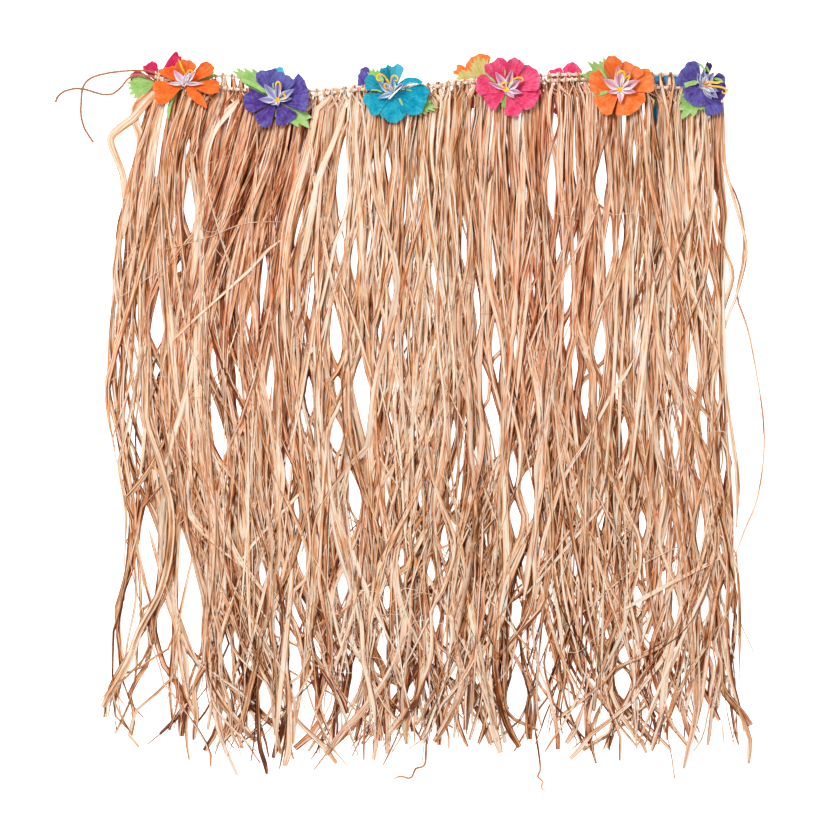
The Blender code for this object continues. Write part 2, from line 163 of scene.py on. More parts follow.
def tube_rings(line, radius, sides):
    """Rings of points round a line."""
    _, side, up = square_to(line)
    turn = np.linspace(0, 2 * math.pi, sides, endpoint=False)
    radius = np.broadcast_to(radius, line.shape[:-1])[..., None, None]
    return (line[..., None, :] + radius * (np.cos(turn)[:, None] * side[..., None, :]
                                           + np.sin(turn)[:, None] * up[..., None, :]))


def plies(points, thick, pitch, step, wobble, count=2):
    """Rings of the plies twisted along a line, and how far along it each ring is."""
    line, gone = smooth_path(points, step)
    _, side, up = square_to(line)
    rings = []
    for k in range(count):
        turn = 2 * math.pi * (gone / pitch + k / count) + wobble * np.sin(gone / UNEVEN[0] + k)
        swell = 1 + wobble * 0.3 * np.sin(gone / UNEVEN[1] + 2 * k)
        middle = line + thick * 0.25 * (np.cos(turn)[:, None] * side + np.sin(turn)[:, None] * up)
        rings.append(tube_rings(middle, thick * 0.26 * swell, 8))
    return np.stack(rings), np.broadcast_to(gone, (count, len(gone)))


def closed_strips(rings):
    """Closed bodies from rings (strip, ring, point, xyz): places, faces and each face's UV.

    Each strip takes one column of the UV square, so that it keeps its own room in a bake.
    """
    strips, count, around, _ = rings.shape
    base = (np.arange(strips)[:, None, None] * count + np.arange(count - 1)[None, :, None]) * around
    k = np.arange(around)[None, None, :]
    after = (k + 1) % around
    quads = np.stack([base + k, base + after, base + after + around, base + k + around], axis=-1)
    rung = np.arange(around // 2 - 1)
    ladder = np.stack([rung, rung + 1, around - 2 - rung, around - 1 - rung], -1)
    first = np.arange(strips)[:, None, None] * count * around + ladder[:, ::-1]
    last = np.arange(strips)[:, None, None] * count * around + (count - 1) * around + ladder
    u = (np.arange(strips)[:, None, None] * (around + 1) + k + 0.5) / ((around + 1) * strips)
    u = np.broadcast_to(u, quads.shape[:3])
    v = np.broadcast_to((np.arange(count - 1)[None, :, None] + 0.5) / (count + 1), quads.shape[:3])
    wide = 1 / ((around + 1) * strips)
    tall = 1 / (count + 1)
    quad_uv = np.stack([
        np.stack([u, v], -1), np.stack([u + wide, v], -1),
        np.stack([u + wide, v + tall], -1), np.stack([u, v + tall], -1)], axis=-2)
    turn = np.linspace(0, 2 * math.pi, around, endpoint=False)
    circle = np.stack([np.cos(turn) * wide, np.sin(turn) * tall * 0.2], -1)
    middle = (np.arange(strips) + 0.5) / strips
    uvs = [quad_uv.reshape(-1, 2)]
    for v_cap, order in ((tall * 0.25, ladder[:, ::-1]), (1 - tall * 0.25, ladder)):
        at = np.stack([middle, np.full(strips, v_cap)], -1)
        uvs.append((at[:, None, None, :] + circle[order]).reshape(-1, 2))
    faces = [block.reshape(-1, 4) for block in (quads, first, last)]
    return rings.reshape(-1, 3), np.vstack(faces), np.vstack(uvs)


def joined_mesh(name, groups, material, crease=35):
    """One mesh from groups of (rings, readings), where readings are named values per point.
    Edges bent by more than the crease, in degrees, are sharp."""
    places = []
    corners = []
    uvs = []
    readings = {key: [] for key in groups[0][1]}
    total = 0
    share = 0.0
    strips = sum(rings.shape[0] for rings, _ in groups)
    for rings, values in groups:
        points, quads, uv = closed_strips(rings)
        places.append(points)
        corners.append((quads + total).ravel())
        part = rings.shape[0] / strips
        uvs.append(uv * (part, 1) + (share, 0))
        share += part
        total += len(points)
        for key, value in values.items():
            width = value.shape[-1] if value.ndim == 4 else 1
            readings[key].append(value.reshape(-1, width))
    mesh = bpy.data.meshes.new(name)
    places = np.vstack(places) * MM
    corners = np.concatenate(corners)
    mesh.vertices.add(len(places))
    mesh.vertices.foreach_set("co", places.ravel().astype(np.float32))
    mesh.loops.add(len(corners))
    mesh.loops.foreach_set("vertex_index", corners.astype(np.int32))
    mesh.polygons.add(len(corners) // 4)
    mesh.polygons.foreach_set("loop_start", np.arange(0, len(corners), 4, dtype=np.int32))
    mesh.update(calc_edges=True)
    layer = mesh.uv_layers.new(name="OFBake")
    layer.uv.foreach_set("vector", np.vstack(uvs).ravel().astype(np.float32))
    for key, found in readings.items():
        found = np.vstack(found)
        kind = "FLOAT_VECTOR" if found.shape[1] == 3 else "FLOAT"
        field = "vector" if found.shape[1] == 3 else "value"
        attribute = mesh.attributes.new(key, kind, "POINT")
        attribute.data.foreach_set(field, found.ravel().astype(np.float32))
    mesh.shade_smooth()
    mesh.set_sharp_from_angle(angle=math.radians(crease))
    mesh.materials.append(material)
    piece = bpy.data.objects.new(name, mesh)
    bpy.context.scene.collection.objects.link(piece)
    return piece


def twisted_raffia(name, pale, dark):
    """Raffia twisted into twine: dull, with fibres that wind round with each ply as fine dark
    and pale lines, and a few stains."""
    material, tree, shader, fibre = new_material(name, "fibre")
    strands = grain(tree, fibre, (0.25, 2.2, 1.0), 4.0)      # fibres about 0.5 mm wide
    stains = grain(tree, fibre, (0.05, 0.05, 0.05), 2.0)     # some centimetres long
    tone = total(tree, 0.0, (strands, 0.5), (stains, 0.5))
    plug(tree, shader, {
        "Base Color": add(tree, "ValToRGB", {"Fac": tone}, stops=((0.36, dark), (0.64, pale))),
        "Roughness": add(tree, "MapRange", {"Value": strands, "To Min": 0.5, "To Max": 0.75}),
        "Normal": add(tree, "Bump", {"Height": strands, "Strength": 0.6, "Distance": 0.0004}),
        "Specular IOR Level": 0.35})
    return material


def along_and_round(rings, gone, radius):
    """What twisted raffia reads: millimetres along and round each ply, and a number for it."""
    strips, count, around, _ = rings.shape
    fibre = np.zeros((strips, count, around, 3))
    fibre[..., 0] = gone[..., None]
    fibre[..., 1] = radius * np.sin(np.linspace(0, 2 * math.pi, around, endpoint=False))
    fibre[..., 2] = np.arange(strips)[:, None, None] * 7.3
    return fibre


tie_material = twisted_raffia("raffia_twine_brown", "#BC855C", "#8C5536")
for name, route in (("tie_upper", TIE_UPPER), ("tie_lower", TIE_LOWER)):
    rings, gone = plies(route, TIE_THICK, TIE_PITCH, step=0.7, wobble=0.25, count=TIE_PLIES)
    fibre = along_and_round(rings, gone, 1.2)
    tie = joined_mesh(name + "_cord", [(rings, {"fibre": fibre})], tie_material)
    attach(tie, "root")
    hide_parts(name)

# --- Waist cord ----------------------------------------------------------------------------
# One cord of two plies runs along the back of the waist, turns round at the fold and comes
# back along the front. Every strand hangs from it, and the knots hold it in its bow.
CORD_THICK = 4.0
CORD_PITCH = 10.0
BACK_CORD_Z = 9.3                   # over the flowers pressed under the back
FRONT_CORD_Z = 15.6
CORD_RISE = 0.4                     # its middle lies this far above the line of the waist
LEFT_END = -310.2                   # X of both of its ends
# X and Y of the line of the waist, left to right
FRONT_WAIST = np.array((
    (-310, 389), (-274, 380), (-242, 375), (-202, 371), (-167, 367), (-135, 365),
    (-104, 369), (-75, 372), (-33, 374), (5, 375), (57, 381), (97, 382), (137, 382),
    (189, 384), (226, 380), (262, 375), (293, 374), (321, 373), (341, 371),
), float)
BACK_WAIST = np.array((
    (-310, 394), (-274, 392), (-244, 388), (-227, 389), (-208, 385), (-185, 378),
    (-144, 371), (-104, 373), (-75, 375), (-33, 377), (5, 378), (57, 384), (97, 386),
    (137, 389), (189, 390), (226, 390), (262, 390), (293, 389), (321, 382), (341, 373),
), float)
FOLD_TURN = ((344.5, 372.6, 10.3), (346.2, 372.0, 12.4), (344.6, 371.6, 14.6))

waists = {"back": smooth_path(BACK_WAIST, 4.0)[0], "front": smooth_path(FRONT_WAIST, 4.0)[0]}


def waist_y(layer, x):
    """Y of the waist cord of a layer at X."""
    return np.interp(x, waists[layer][:, 0], waists[layer][:, 1])


route = [(LEFT_END, 392, BACK_CORD_Z)]
route += [(x, y + CORD_RISE, BACK_CORD_Z) for x, y in BACK_WAIST[1:]]
route += FOLD_TURN
route += [(x, y + CORD_RISE, FRONT_CORD_Z) for x, y in FRONT_WAIST[:0:-1]]
route.append((LEFT_END, 387, FRONT_CORD_Z))
rings, gone = plies(route, CORD_THICK, CORD_PITCH, step=1.3, wobble=0.15)
waist_cord = joined_mesh("waist_cord", [(rings, {"fibre": along_and_round(rings, gone, 1.8)})],
                         twisted_raffia("raffia_twine_pale", "#FBF5EC", "#E0CBB6"))
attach(waist_cord, "root")
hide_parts("waist_cord_front", "waist_cord_back")

# --- Knots ---------------------------------------------------------------------------------
# Each head of raffia is doubled over the cord in a hitch, two flat wraps side by side, and
# the pull of the strands leaves a small dark eye between its legs under the cord.
HEADS = {"front": np.arange(-306, 339, 7.9), "back": np.arange(-307, 339, 10.7)}    # X of each
LEGS = (-1.15, 1.15)                # X of the two wraps from the middle of their head
WRAP_REACH = 2.7                    # from the middle of the cord to the middle of a wrap
WRAP_WIDE = (1.6, 2.4)
WRAP_TURN = (262, 240, 205, 170, 130, 95, 60, 20, -20, -62)      # degrees, from under the cord
CORD_Z = {"back": BACK_CORD_Z, "front": FRONT_CORD_Z}
TABLE_GAP = 0.05                    # nothing comes nearer to the table than this


def there_and_back(folds):
    """The fold lines across a ribbon, over its upper face and back along its lower one."""
    return list(range(folds)) + list(range(folds - 2, 0, -1))


def ribbons(line, width, roll, crease, side=None, thick=0.3):
    """Closed folded ribbons along lines (strand, ring, xyz), and millimetres across each.

    crease holds the height of each fold line across the ribbon, on its upper face.
    """
    along, flat_side, up = square_to(line)
    if side is not None:
        flat_side = side
        up = np.cross(along, np.broadcast_to(side, along.shape))
    folds = crease.shape[-1]
    order = there_and_back(folds)
    lower = np.array([0.0] * folds + [thick] * (folds - 2))
    across = (np.linspace(-0.5, 0.5, folds) * width[..., None])[..., order]
    height = crease[..., order] - lower
    turn = roll[..., None]
    sideways = across * np.cos(turn) - height * np.sin(turn)
    upwards = across * np.sin(turn) + height * np.cos(turn)
    rings = (line[..., None, :] + sideways[..., None] * flat_side[..., None, :]
             + upwards[..., None] * up[..., None, :])
    rings[..., 2] = np.maximum(rings[..., 2], TABLE_GAP)
    return rings, across


def readings(across, gone, tone, warm, number):
    """What the raffia's material reads: millimetres along and across and a number for the
    strand, then its tone, its warmth and how near its edge each point is."""
    shape = across.shape
    fibre = np.stack([np.broadcast_to(gone[..., None], shape), across,
                      np.broadcast_to(number[:, None, None], shape)], axis=-1)
    edge = np.abs(across) / np.abs(across).max(-1, keepdims=True)
    dye = np.stack([np.broadcast_to(tone, shape), np.broadcast_to(warm, shape), edge], axis=-1)
    return {"fibre": fibre, "dye": dye}


def dried_raffia():
    """Dried palm leaf, torn into ribbons: satin, with fibres that run its length as fine
    darker and paler streaks, each ribbon somewhere between cream, straw and rust, and painted shade
    along each ribbon's edges."""
    material, tree, shader, fibre, dye = new_material("dried_raffia", "fibre", "dye")
    tone, warm, edge = add(tree, "SeparateXYZ", {0: dye}, slice(3))
    streak = grain(tree, fibre, (0.014, 0.55, 1.0), 2.0)     # bands of fibres about 2 mm wide
    fine = grain(tree, fibre, (0.05, 1.1, 1.0), 3.0)         # bundles of fibres about 1 mm wide
    patch = grain(tree, fibre, (0.014, 0.12, 3.0), 2.0)      # weathering over some centimetres
    # painted shade: darker towards each ribbon's edges, standing in for the thin shadows between
    # ribbons
    edge_shade = add(tree, "MapRange", {"Value": edge, "From Min": 0.66, "To Max": -0.42})
    parts = [(tone, 1.0), (edge_shade, 1.0), (patch, 0.4)]
    for pattern, contrast in ((fine, 0.26), (streak, 0.28)):
        crisp = add(tree, "MapRange", {"Value": pattern, "From Min": 0.4, "From Max": 0.6,
                                       "To Min": -contrast, "To Max": contrast})
        parts.append((crisp, 1.0))
    tone = total(tree, -0.13, *parts)
    warm = total(tree, -0.45, (warm, 1.0), (streak, 0.3), (patch, 0.6))
    straw = add(tree, "ValToRGB", {"Fac": tone}, stops=(
        (0.0, "#5E2E0C"), (0.25, "#B47038"), (0.5, "#DDA572"), (0.76, "#E4C6A4"), (1.0, "#EBDCCA")))
    rust = add(tree, "ValToRGB", {"Fac": tone}, stops=(
        (0.0, "#5C240A"), (0.25, "#B25A2E"), (0.5, "#DA8F60"), (0.76, "#E8B48E"), (1.0, "#ECD2BC")))
    height = total(tree, 0.0, (fine, 0.5), (streak, 1.0))
    plug(tree, shader, {
        "Base Color": add(tree, "Mix", {0: warm, 6: straw, 7: rust}, 2, data_type="RGBA"),
        "Roughness": add(tree, "MapRange", {"Value": fine, "To Min": 0.42, "To Max": 0.7}),
        "Normal": add(tree, "Bump", {"Height": height, "Strength": 0.7, "Distance": 0.0005}),
        "Specular IOR Level": 0.4})
    return material


raffia = dried_raffia()
for layer, seed in (("back", 6), ("front", 5)):
    rng = np.random.default_rng(seed)
    x = (HEADS[layer][:, None] + np.array(LEGS)).ravel()
    count = x.size
    x = x + rng.normal(0, 0.2, count)
    turn = np.radians(WRAP_TURN)
    whole = np.ones((count, len(turn)))
    reach = WRAP_REACH * rng.uniform(0.92, 1.12, (count, 1))
    lean = rng.normal(0, 0.16, (count, 1)) + np.tile((0.16, -0.16), count // 2)[:, None]
    rise = np.sin(turn) * reach * 1.05
    line = np.stack([x[:, None] + lean * rise, waist_y(layer, x)[:, None] + CORD_RISE + rise,
                     CORD_Z[layer] + np.cos(turn) * reach], axis=-1)
    side = np.stack([whole, lean * whole, 0 * whole], -1)
    width = rng.uniform(*WRAP_WIDE, (count, 1)) * whole
    crease = rng.normal(0, 0.22, (count, 1, 5)) * whole[..., None]
    crease[..., 2] += 0.35
    rings, across = ribbons(line, width, 0 * whole, crease, side=side)
    gone = np.arange(len(turn)) * 2.0 * whole
    tone = rng.normal(0.6, 0.13, (count, 1, 1))
    warm = rng.normal(0.5, 0.2, (count, 1, 1))
    number = rng.uniform(0, 99, count)
    groups = [(rings, readings(across, gone, tone, warm, number))]
    knots = joined_mesh("knots_" + layer, groups, raffia)
    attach(knots, "root")

# --- Raffia strands ------------------------------------------------------------------------
# Two layers of raffia ribbons, front and back, hang from the knots to an uneven hem. They lie
# in locks that part, cross and stand open in places, tangled and frayed towards the ends.
LAYER_DEEP = 5.0
RAMP_TOP = 322.0                    # the strands come down off the flowers from here
RAMP_FOOT = 262.0                   # and lie flat from here
FLAT_Z = {"back": 0.0, "front": 5.3}
WAIST_Z = {"back": 6.3, "front": 12.6}
STATIONS = (375, 300, 220, 110, 0, -110, -220, -310, -400)
PARTINGS = (                        # X of each parting at the height Y of each station
    (-312, -335, -350, -362, -361, -339, -344, -356, -367),
    (-282, -304, -305, -308, -305, -287, -296, -309, -309),
    (-251, -272, -271, -264, -269, -264, -260, -252, -252),
    (-200, -218, -234, -243, -241, -236, -229, -223, -220),
    (-119, -128, -148, -155, -154, -151, -148, -144, -144),
    (-87, -95, -94, -103, -102, -96, -87, -85, -85),
    (-39, -43, -47, -62, -73, -82, -66, -52, -50),
    (17, 5, 6, 10, -9, -18, -18, -11, -6),
    (65, 58, 56, 63, 76, 63, 42, 34, 34),
    (141, 144, 147, 137, 126, 117, 111, 105, 105),
    (203, 203, 210, 198, 188, 187, 194, 202, 203),
    (304, 304, 311, 306, 308, 314, 316, 304, 304),
    (340, 337, 338, 338, 341, 350, 357, 356, 371),
)
# Y of the hem under each front hank
HEMS = (-372, -372, -402, -412, -407, -400, -392, -386, -388, -392, -390, -388)
# First and last parting of each hank
HANKS = {"back": ((0, 2), (2, 5), (5, 7), (7, 9), (9, 10), (10, 12)),
         "front": tuple((k, k + 1) for k in range(12))}
# Where the strands stand open to the table: X, top Y, bottom Y, width, lean of the opening
OPEN = (
    (-304, 354, 281, 5, -3), (108, 349, 331, 5, 0), (148, 349, 317, 5, 0), (227, 343, 320, 5, 0),
    (-344, 336, 279, 15, 2), (-272, 320, 295, 3, 0), (-96, 318, 219, 9, -2), (-43, 311, 256, 5, 2),
    (203, 309, 241, 9, -7), (240, 308, 289, 3, 0), (144, 290, 231, 6, -6), (-271, 277, 204, 9, 3),
    (334, 262, 190, 5, 3), (-24, 235, 219, 3, 0), (211, 233, 166, 7, 0), (-288, 229, 216, 3, 0),
    (5, 225, 214, 3, 0), (-148, 221, 201, 5, -1), (224, 219, 172, 5, 0), (-347, 210, 178, 5, -2),
    (-98, 206, 166, 7, -2), (152, 206, 180, 5, 0), (-300, 201, 178, 3, 0), (-81, 200, 145, 6, 3),
    (164, 193, 114, 6, -2), (10, 182, 133, 5, 2), (-283, 177, 151, 6, 0), (327, 172, 132, 5, 0),
    (-39, 162, 124, 5, 2), (-154, 157, 114, 5, -1), (-132, 157, 103, 5, 1), (60, 154, 96, 5, 6),
    (-308, 149, 63, 10, -3), (-203, 132, 82, 5, -9), (-331, 129, 111, 3, 0), (-103, 124, 51, 9, 7),
    (81, 118, 11, 5, 2), (200, 118, 51, 9, -3), (-51, 112, 89, 5, 0), (163, 111, 60, 6, 0),
    (306, 106, 2, 8, 6), (-354, 86, 6, 3, 2), (-178, 86, 12, 6, -5), (-243, 82, 40, 5, 2),
    (171, 82, 26, 7, 3), (-309, 74, 39, 5, 3), (76, 64, -48, 10, 25), (-72, 63, -41, 12, 9),
    (-331, 55, 33, 5, 0), (-133, 51, 17, 5, 2), (219, 49, 11, 5, 0), (-102, 47, 24, 9, 0),
    (185, 47, -9, 10, -9), (195, 47, 9, 7, 2), (335, 39, 17, 5, 0), (-239, 33, -58, 10, 14),
    (319, 30, -34, 6, 3), (-214, 14, -14, 5, 2), (229, 5, -32, 5, 0), (-102, -1, -44, 9, 3),
    (-11, -12, -32, 5, 0), (272, -18, -48, 5, 0), (341, -37, -87, 6, 0), (313, -37, -71, 6, 0),
    (101, -41, -95, 6, 5), (-156, -47, -83, 5, 5), (-82, -62, -122, 9, 12), (-20, -64, -95, 3, 0),
    (118, -65, -128, 12, 9), (-5, -83, -112, 5, 1), (104, -93, -150, 8, 5), (316, -93, -165, 6, 0),
    (-148, -96, -120, 5, 2), (-316, -98, -216, 12, 12), (-272, -120, -283, 16, 21),
    (249, -110, -145, 6, 0), (22, -121, -156, 5, 2), (-143, -141, -191, 6, 6),
    (-27, -152, -181, 6, 3), (6, -159, -198, 6, 0), (116, -159, -187, 6, 0),
    (171, -159, -185, 6, 0), (-188, -171, -194, 6, 3), (-95, -179, -225, 8, 0),
    (243, -193, -221, 6, 0), (286, -193, -243, 6, 0), (-45, -194, -231, 6, 2),
    (-148, -204, -244, 6, 5), (321, -204, -243, 6, 0), (-141, -213, -233, 7, 0),
    (143, -221, -243, 6, 0), (12, -221, -249, 6, 0), (-172, -236, -262, 7, 0),
    (-180, -242, -265, 7, 0), (-227, -247, -311, 7, 5), (-219, -250, -273, 6, 0),
    (-125, -259, -273, 6, 0), (163, -263, -279, 7, 0), (227, -265, -288, 6, 0),
    (-53, -283, -305, 7, 0), (105, -285, -351, 13, 0), (-340, -185, -300, 12, -6),
    (-297, -215, -300, 13, 6), (-309, -287, -362, 34, 12),
    (226, -288, -331, 13, 5), (203, -326, -369, 14, 0), (-49, -246, -298, 7, 0),
    (-38, -304, -332, 8, 0), (-16, -303, -330, 7, 0), (-78, -277, -314, 9, 5),
    (33, -282, -306, 7, 0), (-150, -262, -308, 9, 0), (114, -246, -262, 6, 0),
    (-186, -300, -345, 10, 4), (-112, -310, -352, 9, -4), (264, 364, 324, 4, 0),
    (250, 366, 349, 4, 0),
)
# Ends that reach furthest: X, Y
TIPS = (
    (-371, -336), (-370, -348), (-367, -348), (-355, -362), (-338, -366), (-329, -382),
    (-294, -363), (-274, -375), (-266, -374), (-247, -404), (-216, -415), (-205, -420),
    (-182, -413), (-162, -404), (-128, -408), (-102, -401), (-90, -403), (-71, -397), (-49, -403),
    (-4, -402), (27, -384), (39, -382), (86, -389), (108, -382), (152, -385), (166, -396),
    (196, -401), (223, -398), (254, -389), (278, -374), (297, -407), (308, -387), (324, -380),
    (343, -380), (356, -384), (371, -401), (374, -357),
)
OPEN_WIDER = 1.85                   # strands fill an opening again a little, so it starts wider
# How rusty the raffia is at each X along the waist, from 0 for straw to 1
RUSTY = ((-340, 0.35), (-265, 0.5), (-230, 0.9), (-130, 0.85), (-95, 0.3), (20, 0.3), (70, 0.6),
         (140, 0.95), (205, 0.85), (240, 0.35), (370, 0.4))
# How much paler or darker it is at each X, and a dark patch in the lower half
SHADES = ((-340, -0.05), (-170, -0.06), (-105, 0.0), (-20, -0.04), (40, -0.07), (110, 0.06),
          (370, 0.02))
DARK_PATCH = (145, 85, 0.27)        # middle X, spread, depth of tone
# Ribbons that stand out: width, tone, depth in the front layer (0 on the table), route in X, Y
SINGLES = (
    (9.2, 0.84, 0.95, ((-305, 375), (-325, 352), (-336, 339), (-349, 329), (-359, 320), (-361, 312),
                       (-354, 293), (-347, 272), (-347, 247))),
    (3.2, 0.7, 0.5, ((-347, 256), (-349, 212), (-355, 178), (-359, 132), (-363, 86), (-364, 40),
                     (-362, 11), (-354, -18), (-344, -47))),
    (9.2, 0.84, 0.3, ((-315, 370), (-332, 354), (-333, 336), (-327, 316), (-331, 287), (-336, 258),
                     (-344, 229), (-347, 201))),
    (2.9, 0.6, 0.3, ((-346, -41), (-340, -87), (-336, -121), (-334, -167), (-333, -213),
                     (-342, -259), (-349, -305), (-367, -336))),
    (2.6, 0.5, 0, ((343, 281), (359, 247), (366, 212), (364, 170), (358, 137), (371, 97), (381, 45),
                   (388, -2), (389, -47), (381, -98), (367, -133), (359, -154), (350, -180))),
    (3.6, 0.6, 0.4, ((341, 362), (343, 293), (354, 247), (367, 201), (367, 175), (357, 137),
                     (345, 105), (338, 74))),
    (5.2, 0.75, 0.9, ((338, 262), (333, 222), (344, 187), (352, 158), (340, 110), (343, 40),
                      (351, -20), (358, -75), (357, -130))),
    (1.1, 0.7, 0, ((361, -206), (362, -237), (371, -259), (380, -279))),
    (4.0, 0.9, 1.1, ((-160, 205), (-181, 189), (-202, 166), (-234, 137), (-269, 106), (-294, 80),
                     (-305, 49))),
    (0.9, 0.8, 1.3, ((-300, 189), (-271, 197), (-242, 206), (-213, 218), (-188, 221), (-159, 221))),
    (3.4, 0.25, 0.2, ((-124, 11), (-116, -18), (-104, -43), (-87, -49), (-75, -50), (-68, -64))),
    (4.6, 0.95, 1.1, ((240, 66), (231, 49), (212, 20), (186, -29), (160, -70), (143, -118),
                      (134, -150), (129, -179))),
    (6.9, 0.85, 0.95, ((141, 17), (137, -29), (132, -87), (126, -127), (120, -162), (113, -213))),
    (8.0, 0.9, 0.95, ((89, -29), (90, -64), (91, -110), (93, -167), (90, -213), (83, -259))),
    (3.4, 0.85, 1.05, ((203, 258), (189, 218), (166, 175), (137, 120), (120, 80), (111, 51))),
    (10.3, 0.95, 0.95, ((-213, 362), (-240, 331), (-251, 304), (-258, 264), (-263, 201),
                        (-269, 132))),
    (8.0, 0.9, 0.95, ((-91, 360), (-103, 319), (-121, 275), (-131, 229), (-144, 166))),
    (4.0, 0.85, 1.0, ((-135, 339), (-131, 304), (-124, 241), (-108, 155), (-93, 103), (-85, 51))),
    (5.0, 0.6, 1.4, ((269, 389), (270, 379), (273, 365), (278, 340), (283, 300), (281, 262))),
    (4.2, 0.45, 1.4, ((284, 389), (284, 378), (281, 362), (279, 340), (276, 305))),
    (5.2, 0.75, 1.4, ((297, 388), (294, 376), (290, 360), (287, 335), (290, 300), (296, 255))),
    (4.5, 0.7, 0.6, ((-318, -130), (-302, -190), (-286, -250), (-277, -310), (-264, -352))),
    (1.6, 0.6, 0.5, ((-288, -110), (-296, -180), (-286, -245), (-291, -300), (-301, -345))),
    (3.2, 0.45, 0.5, ((-262, -140), (-279, -215), (-290, -275), (-285, -330), (-297, -366))),
    (1.3, 0.4, 0.4, ((-305, -200), (-285, -250), (-268, -280), (-252, -302))),
    (8.0, 0.8, 0.6, ((-298, 374), (-304, 340), (-311, 300), (-316, 260), (-322, 210), (-331, 150))),
    (7.0, 0.85, 0.7, ((-306, 374), (-317, 335), (-322, 300), (-326, 255), (-333, 200), (-341, 140))),
    (2.4, 0.3, 0, ((279, -374), (283, -394), (285, -409), (287, -421))),
    (2.4, 0.25, 0, ((3, -352), (1, -380), (-1, -403), (-11, -407), (-17, -418), (-29, -416),
                    (-39, -420))),
    (2.4, 0.3, 0, ((126, -362), (130, -388), (132, -409), (129, -416), (135, -422), (133, -429),
                   (139, -434))),
)

# What lies across the strands: seed, how many, rings in each, heights where they start, lengths,
# widths, tilt and bend in degrees, folds, depths
TANGLES = (
    (34, 200, 18, (-325, -50), (100, 230), (2.0, 6.4), 21, 10, 4, (0.5, 1.08)),     # slanting
    (35, 14, 12, (-365, -215), (50, 110), (1.0, 3.0), 72, 16, 3, (0.7, 1.1)),       # flat across
    (36, 170, 22, (-200, 335), (170, 360), (1.2, 5.2), 9, 5, 4, (0.7, 1.08)),       # long
    (39, 100, 26, (-230, 335), (140, 330), (5.0, 9.5), 7, 4, 5, (0.85, 1.08)),      # broad
    (38, 200, 20, (-280, 335), (130, 330), (0.9, 1.7), 9, 5, 3, (0.6, 1.08)),       # narrow
    (37, 170, 14, (-380, 330), (25, 110), (0.4, 0.75), 38, 60, 3, (1.0, 1.15)),     # fibres
)

# The partings at every millimetre of height, with their corners at the stations rounded off
level = np.arange(-450, 400)
BLUR = 41
combs = np.array([
    np.convolve(np.pad(np.interp(level, STATIONS[::-1], row[::-1]), BLUR // 2, "edge"),
                np.ones(BLUR) / BLUR, "valid")
    for row in PARTINGS])


def rows_at(y):
    """The rows of the combs at heights y."""
    return np.clip(np.rint(y - level[0]), 0, len(level) - 1).astype(int)


def combed(place, y):
    """X of a place across the hanks, 0 at the left edge and 12 at the right, at height y."""
    place = np.clip(place, 0, len(combs) - 1.001)
    left = place.astype(int)
    share = place - left
    return combs[left, rows_at(y)] * (1 - share) + combs[left + 1, rows_at(y)] * share


def place_of(x, y):
    """The place across the hanks of a point."""
    return np.interp(x, combs[:, rows_at(y)], np.arange(len(combs)))


def soft_step(t):
    """From 0 to 1 as t does, starting and ending gently."""
    t = np.clip(t, 0, 1)
    return t * t * (3 - 2 * t)


def fades(t, first, last):
    """1 along a strand, and from and to 0 over its first and last shares."""
    return soft_step(t / first) * soft_step((1 - t) / last)


def waves(rng, count, y, spans, sizes=(1, 1, 1)):
    """Slow wandering, its own for each of count strands; sizes at the hem, middle and waist."""
    sway = 0
    for _ in range(3):
        span = rng.uniform(*spans, (count, 1))
        sway = sway + np.sin(2 * math.pi * y / span + rng.uniform(0, 7, (count, 1)))
    return sway / 1.7 * np.interp(y, (-400, 0, 340), sizes)


def kinks(rng, count, y, spans, sizes=(1, 1, 1, 1)):
    """Wandering in straight runs with a kink between them, as dry raffia bends; sizes from the
    hem to the waist."""
    run = (400 - y) / rng.uniform(*spans, (count, 1)) + rng.uniform(0, 1, (count, 1))
    corner = np.floor(run).astype(int)
    share = run - corner
    share = 0.6 * share + 0.4 * soft_step(share)
    away = rng.normal(0, 1, (count, corner.max() + 2))
    row = np.arange(count)[:, None]
    here = away[row, corner] * (1 - share) + away[row, corner + 1] * share
    return here * np.interp(y, (-400, -200, 0, 340), sizes)


def drawn_in(x, y, slack, pull):
    """Brings back what passes the left or right edge of the skirt by more than the slack."""
    for end, sign in ((0, 1), (len(combs) - 1, -1)):
        beyond = sign * (combed(np.full_like(y, end), y) - x) - slack
        x = np.where(beyond > 0, x + sign * beyond * pull, x)
    return x


def stand_open(x, y, half):
    """Combs strands aside from the openings, stiffly, so that they bend round them."""
    spot, top, bottom, wide, lean = (np.array(v, float) for v in zip(*OPEN))
    t = (top + 3 - y[..., None]) / (top - bottom + 6)
    inside = (t > 0) & (t < 1)
    t = np.clip(t, 0, 1)
    middle = spot + lean * (t - 0.5)
    widest = 0.3 + 0.4 * (np.arange(len(spot)) * 0.618 % 1)      # how far down, each its own
    shape = np.minimum(t / widest, (1 - t) / (1 - widest)) ** 0.75
    room = (wide / 2 * OPEN_WIDER + half[..., None]) * shape
    side = np.sign(((x[..., None] - middle) * inside).sum(1) / (inside.sum(1) + 1e-9))[:, None, :]
    aside = np.zeros_like(x)
    rounds = 46
    for step in range(rounds):
        last = step >= rounds - 2
        short = room - side * ((x + aside)[..., None] - middle)
        push = (np.where(inside & (short > 0), short, 0) * side).sum(-1)
        aside = aside + (0.95 if last else 0.7) * push
        if not last:
            aside[:, 2:-1] = 0.5 * aside[:, 2:-1] + 0.25 * (aside[:, 1:-2] + aside[:, 3:])
            aside *= 0.99
    return x + aside


def in_openings(x, y):
    """The share of each strand that lies in an opening."""
    spot, top, bottom, wide, lean = (np.array(v, float) for v in zip(*OPEN))
    t = (top - y[..., None]) / (top - bottom)
    off = np.abs(x[..., None] - spot - lean * (t - 0.5))
    return ((t > 0) & (t < 1) & (off < wide / 2 * OPEN_WIDER)).any(-1).mean(-1)


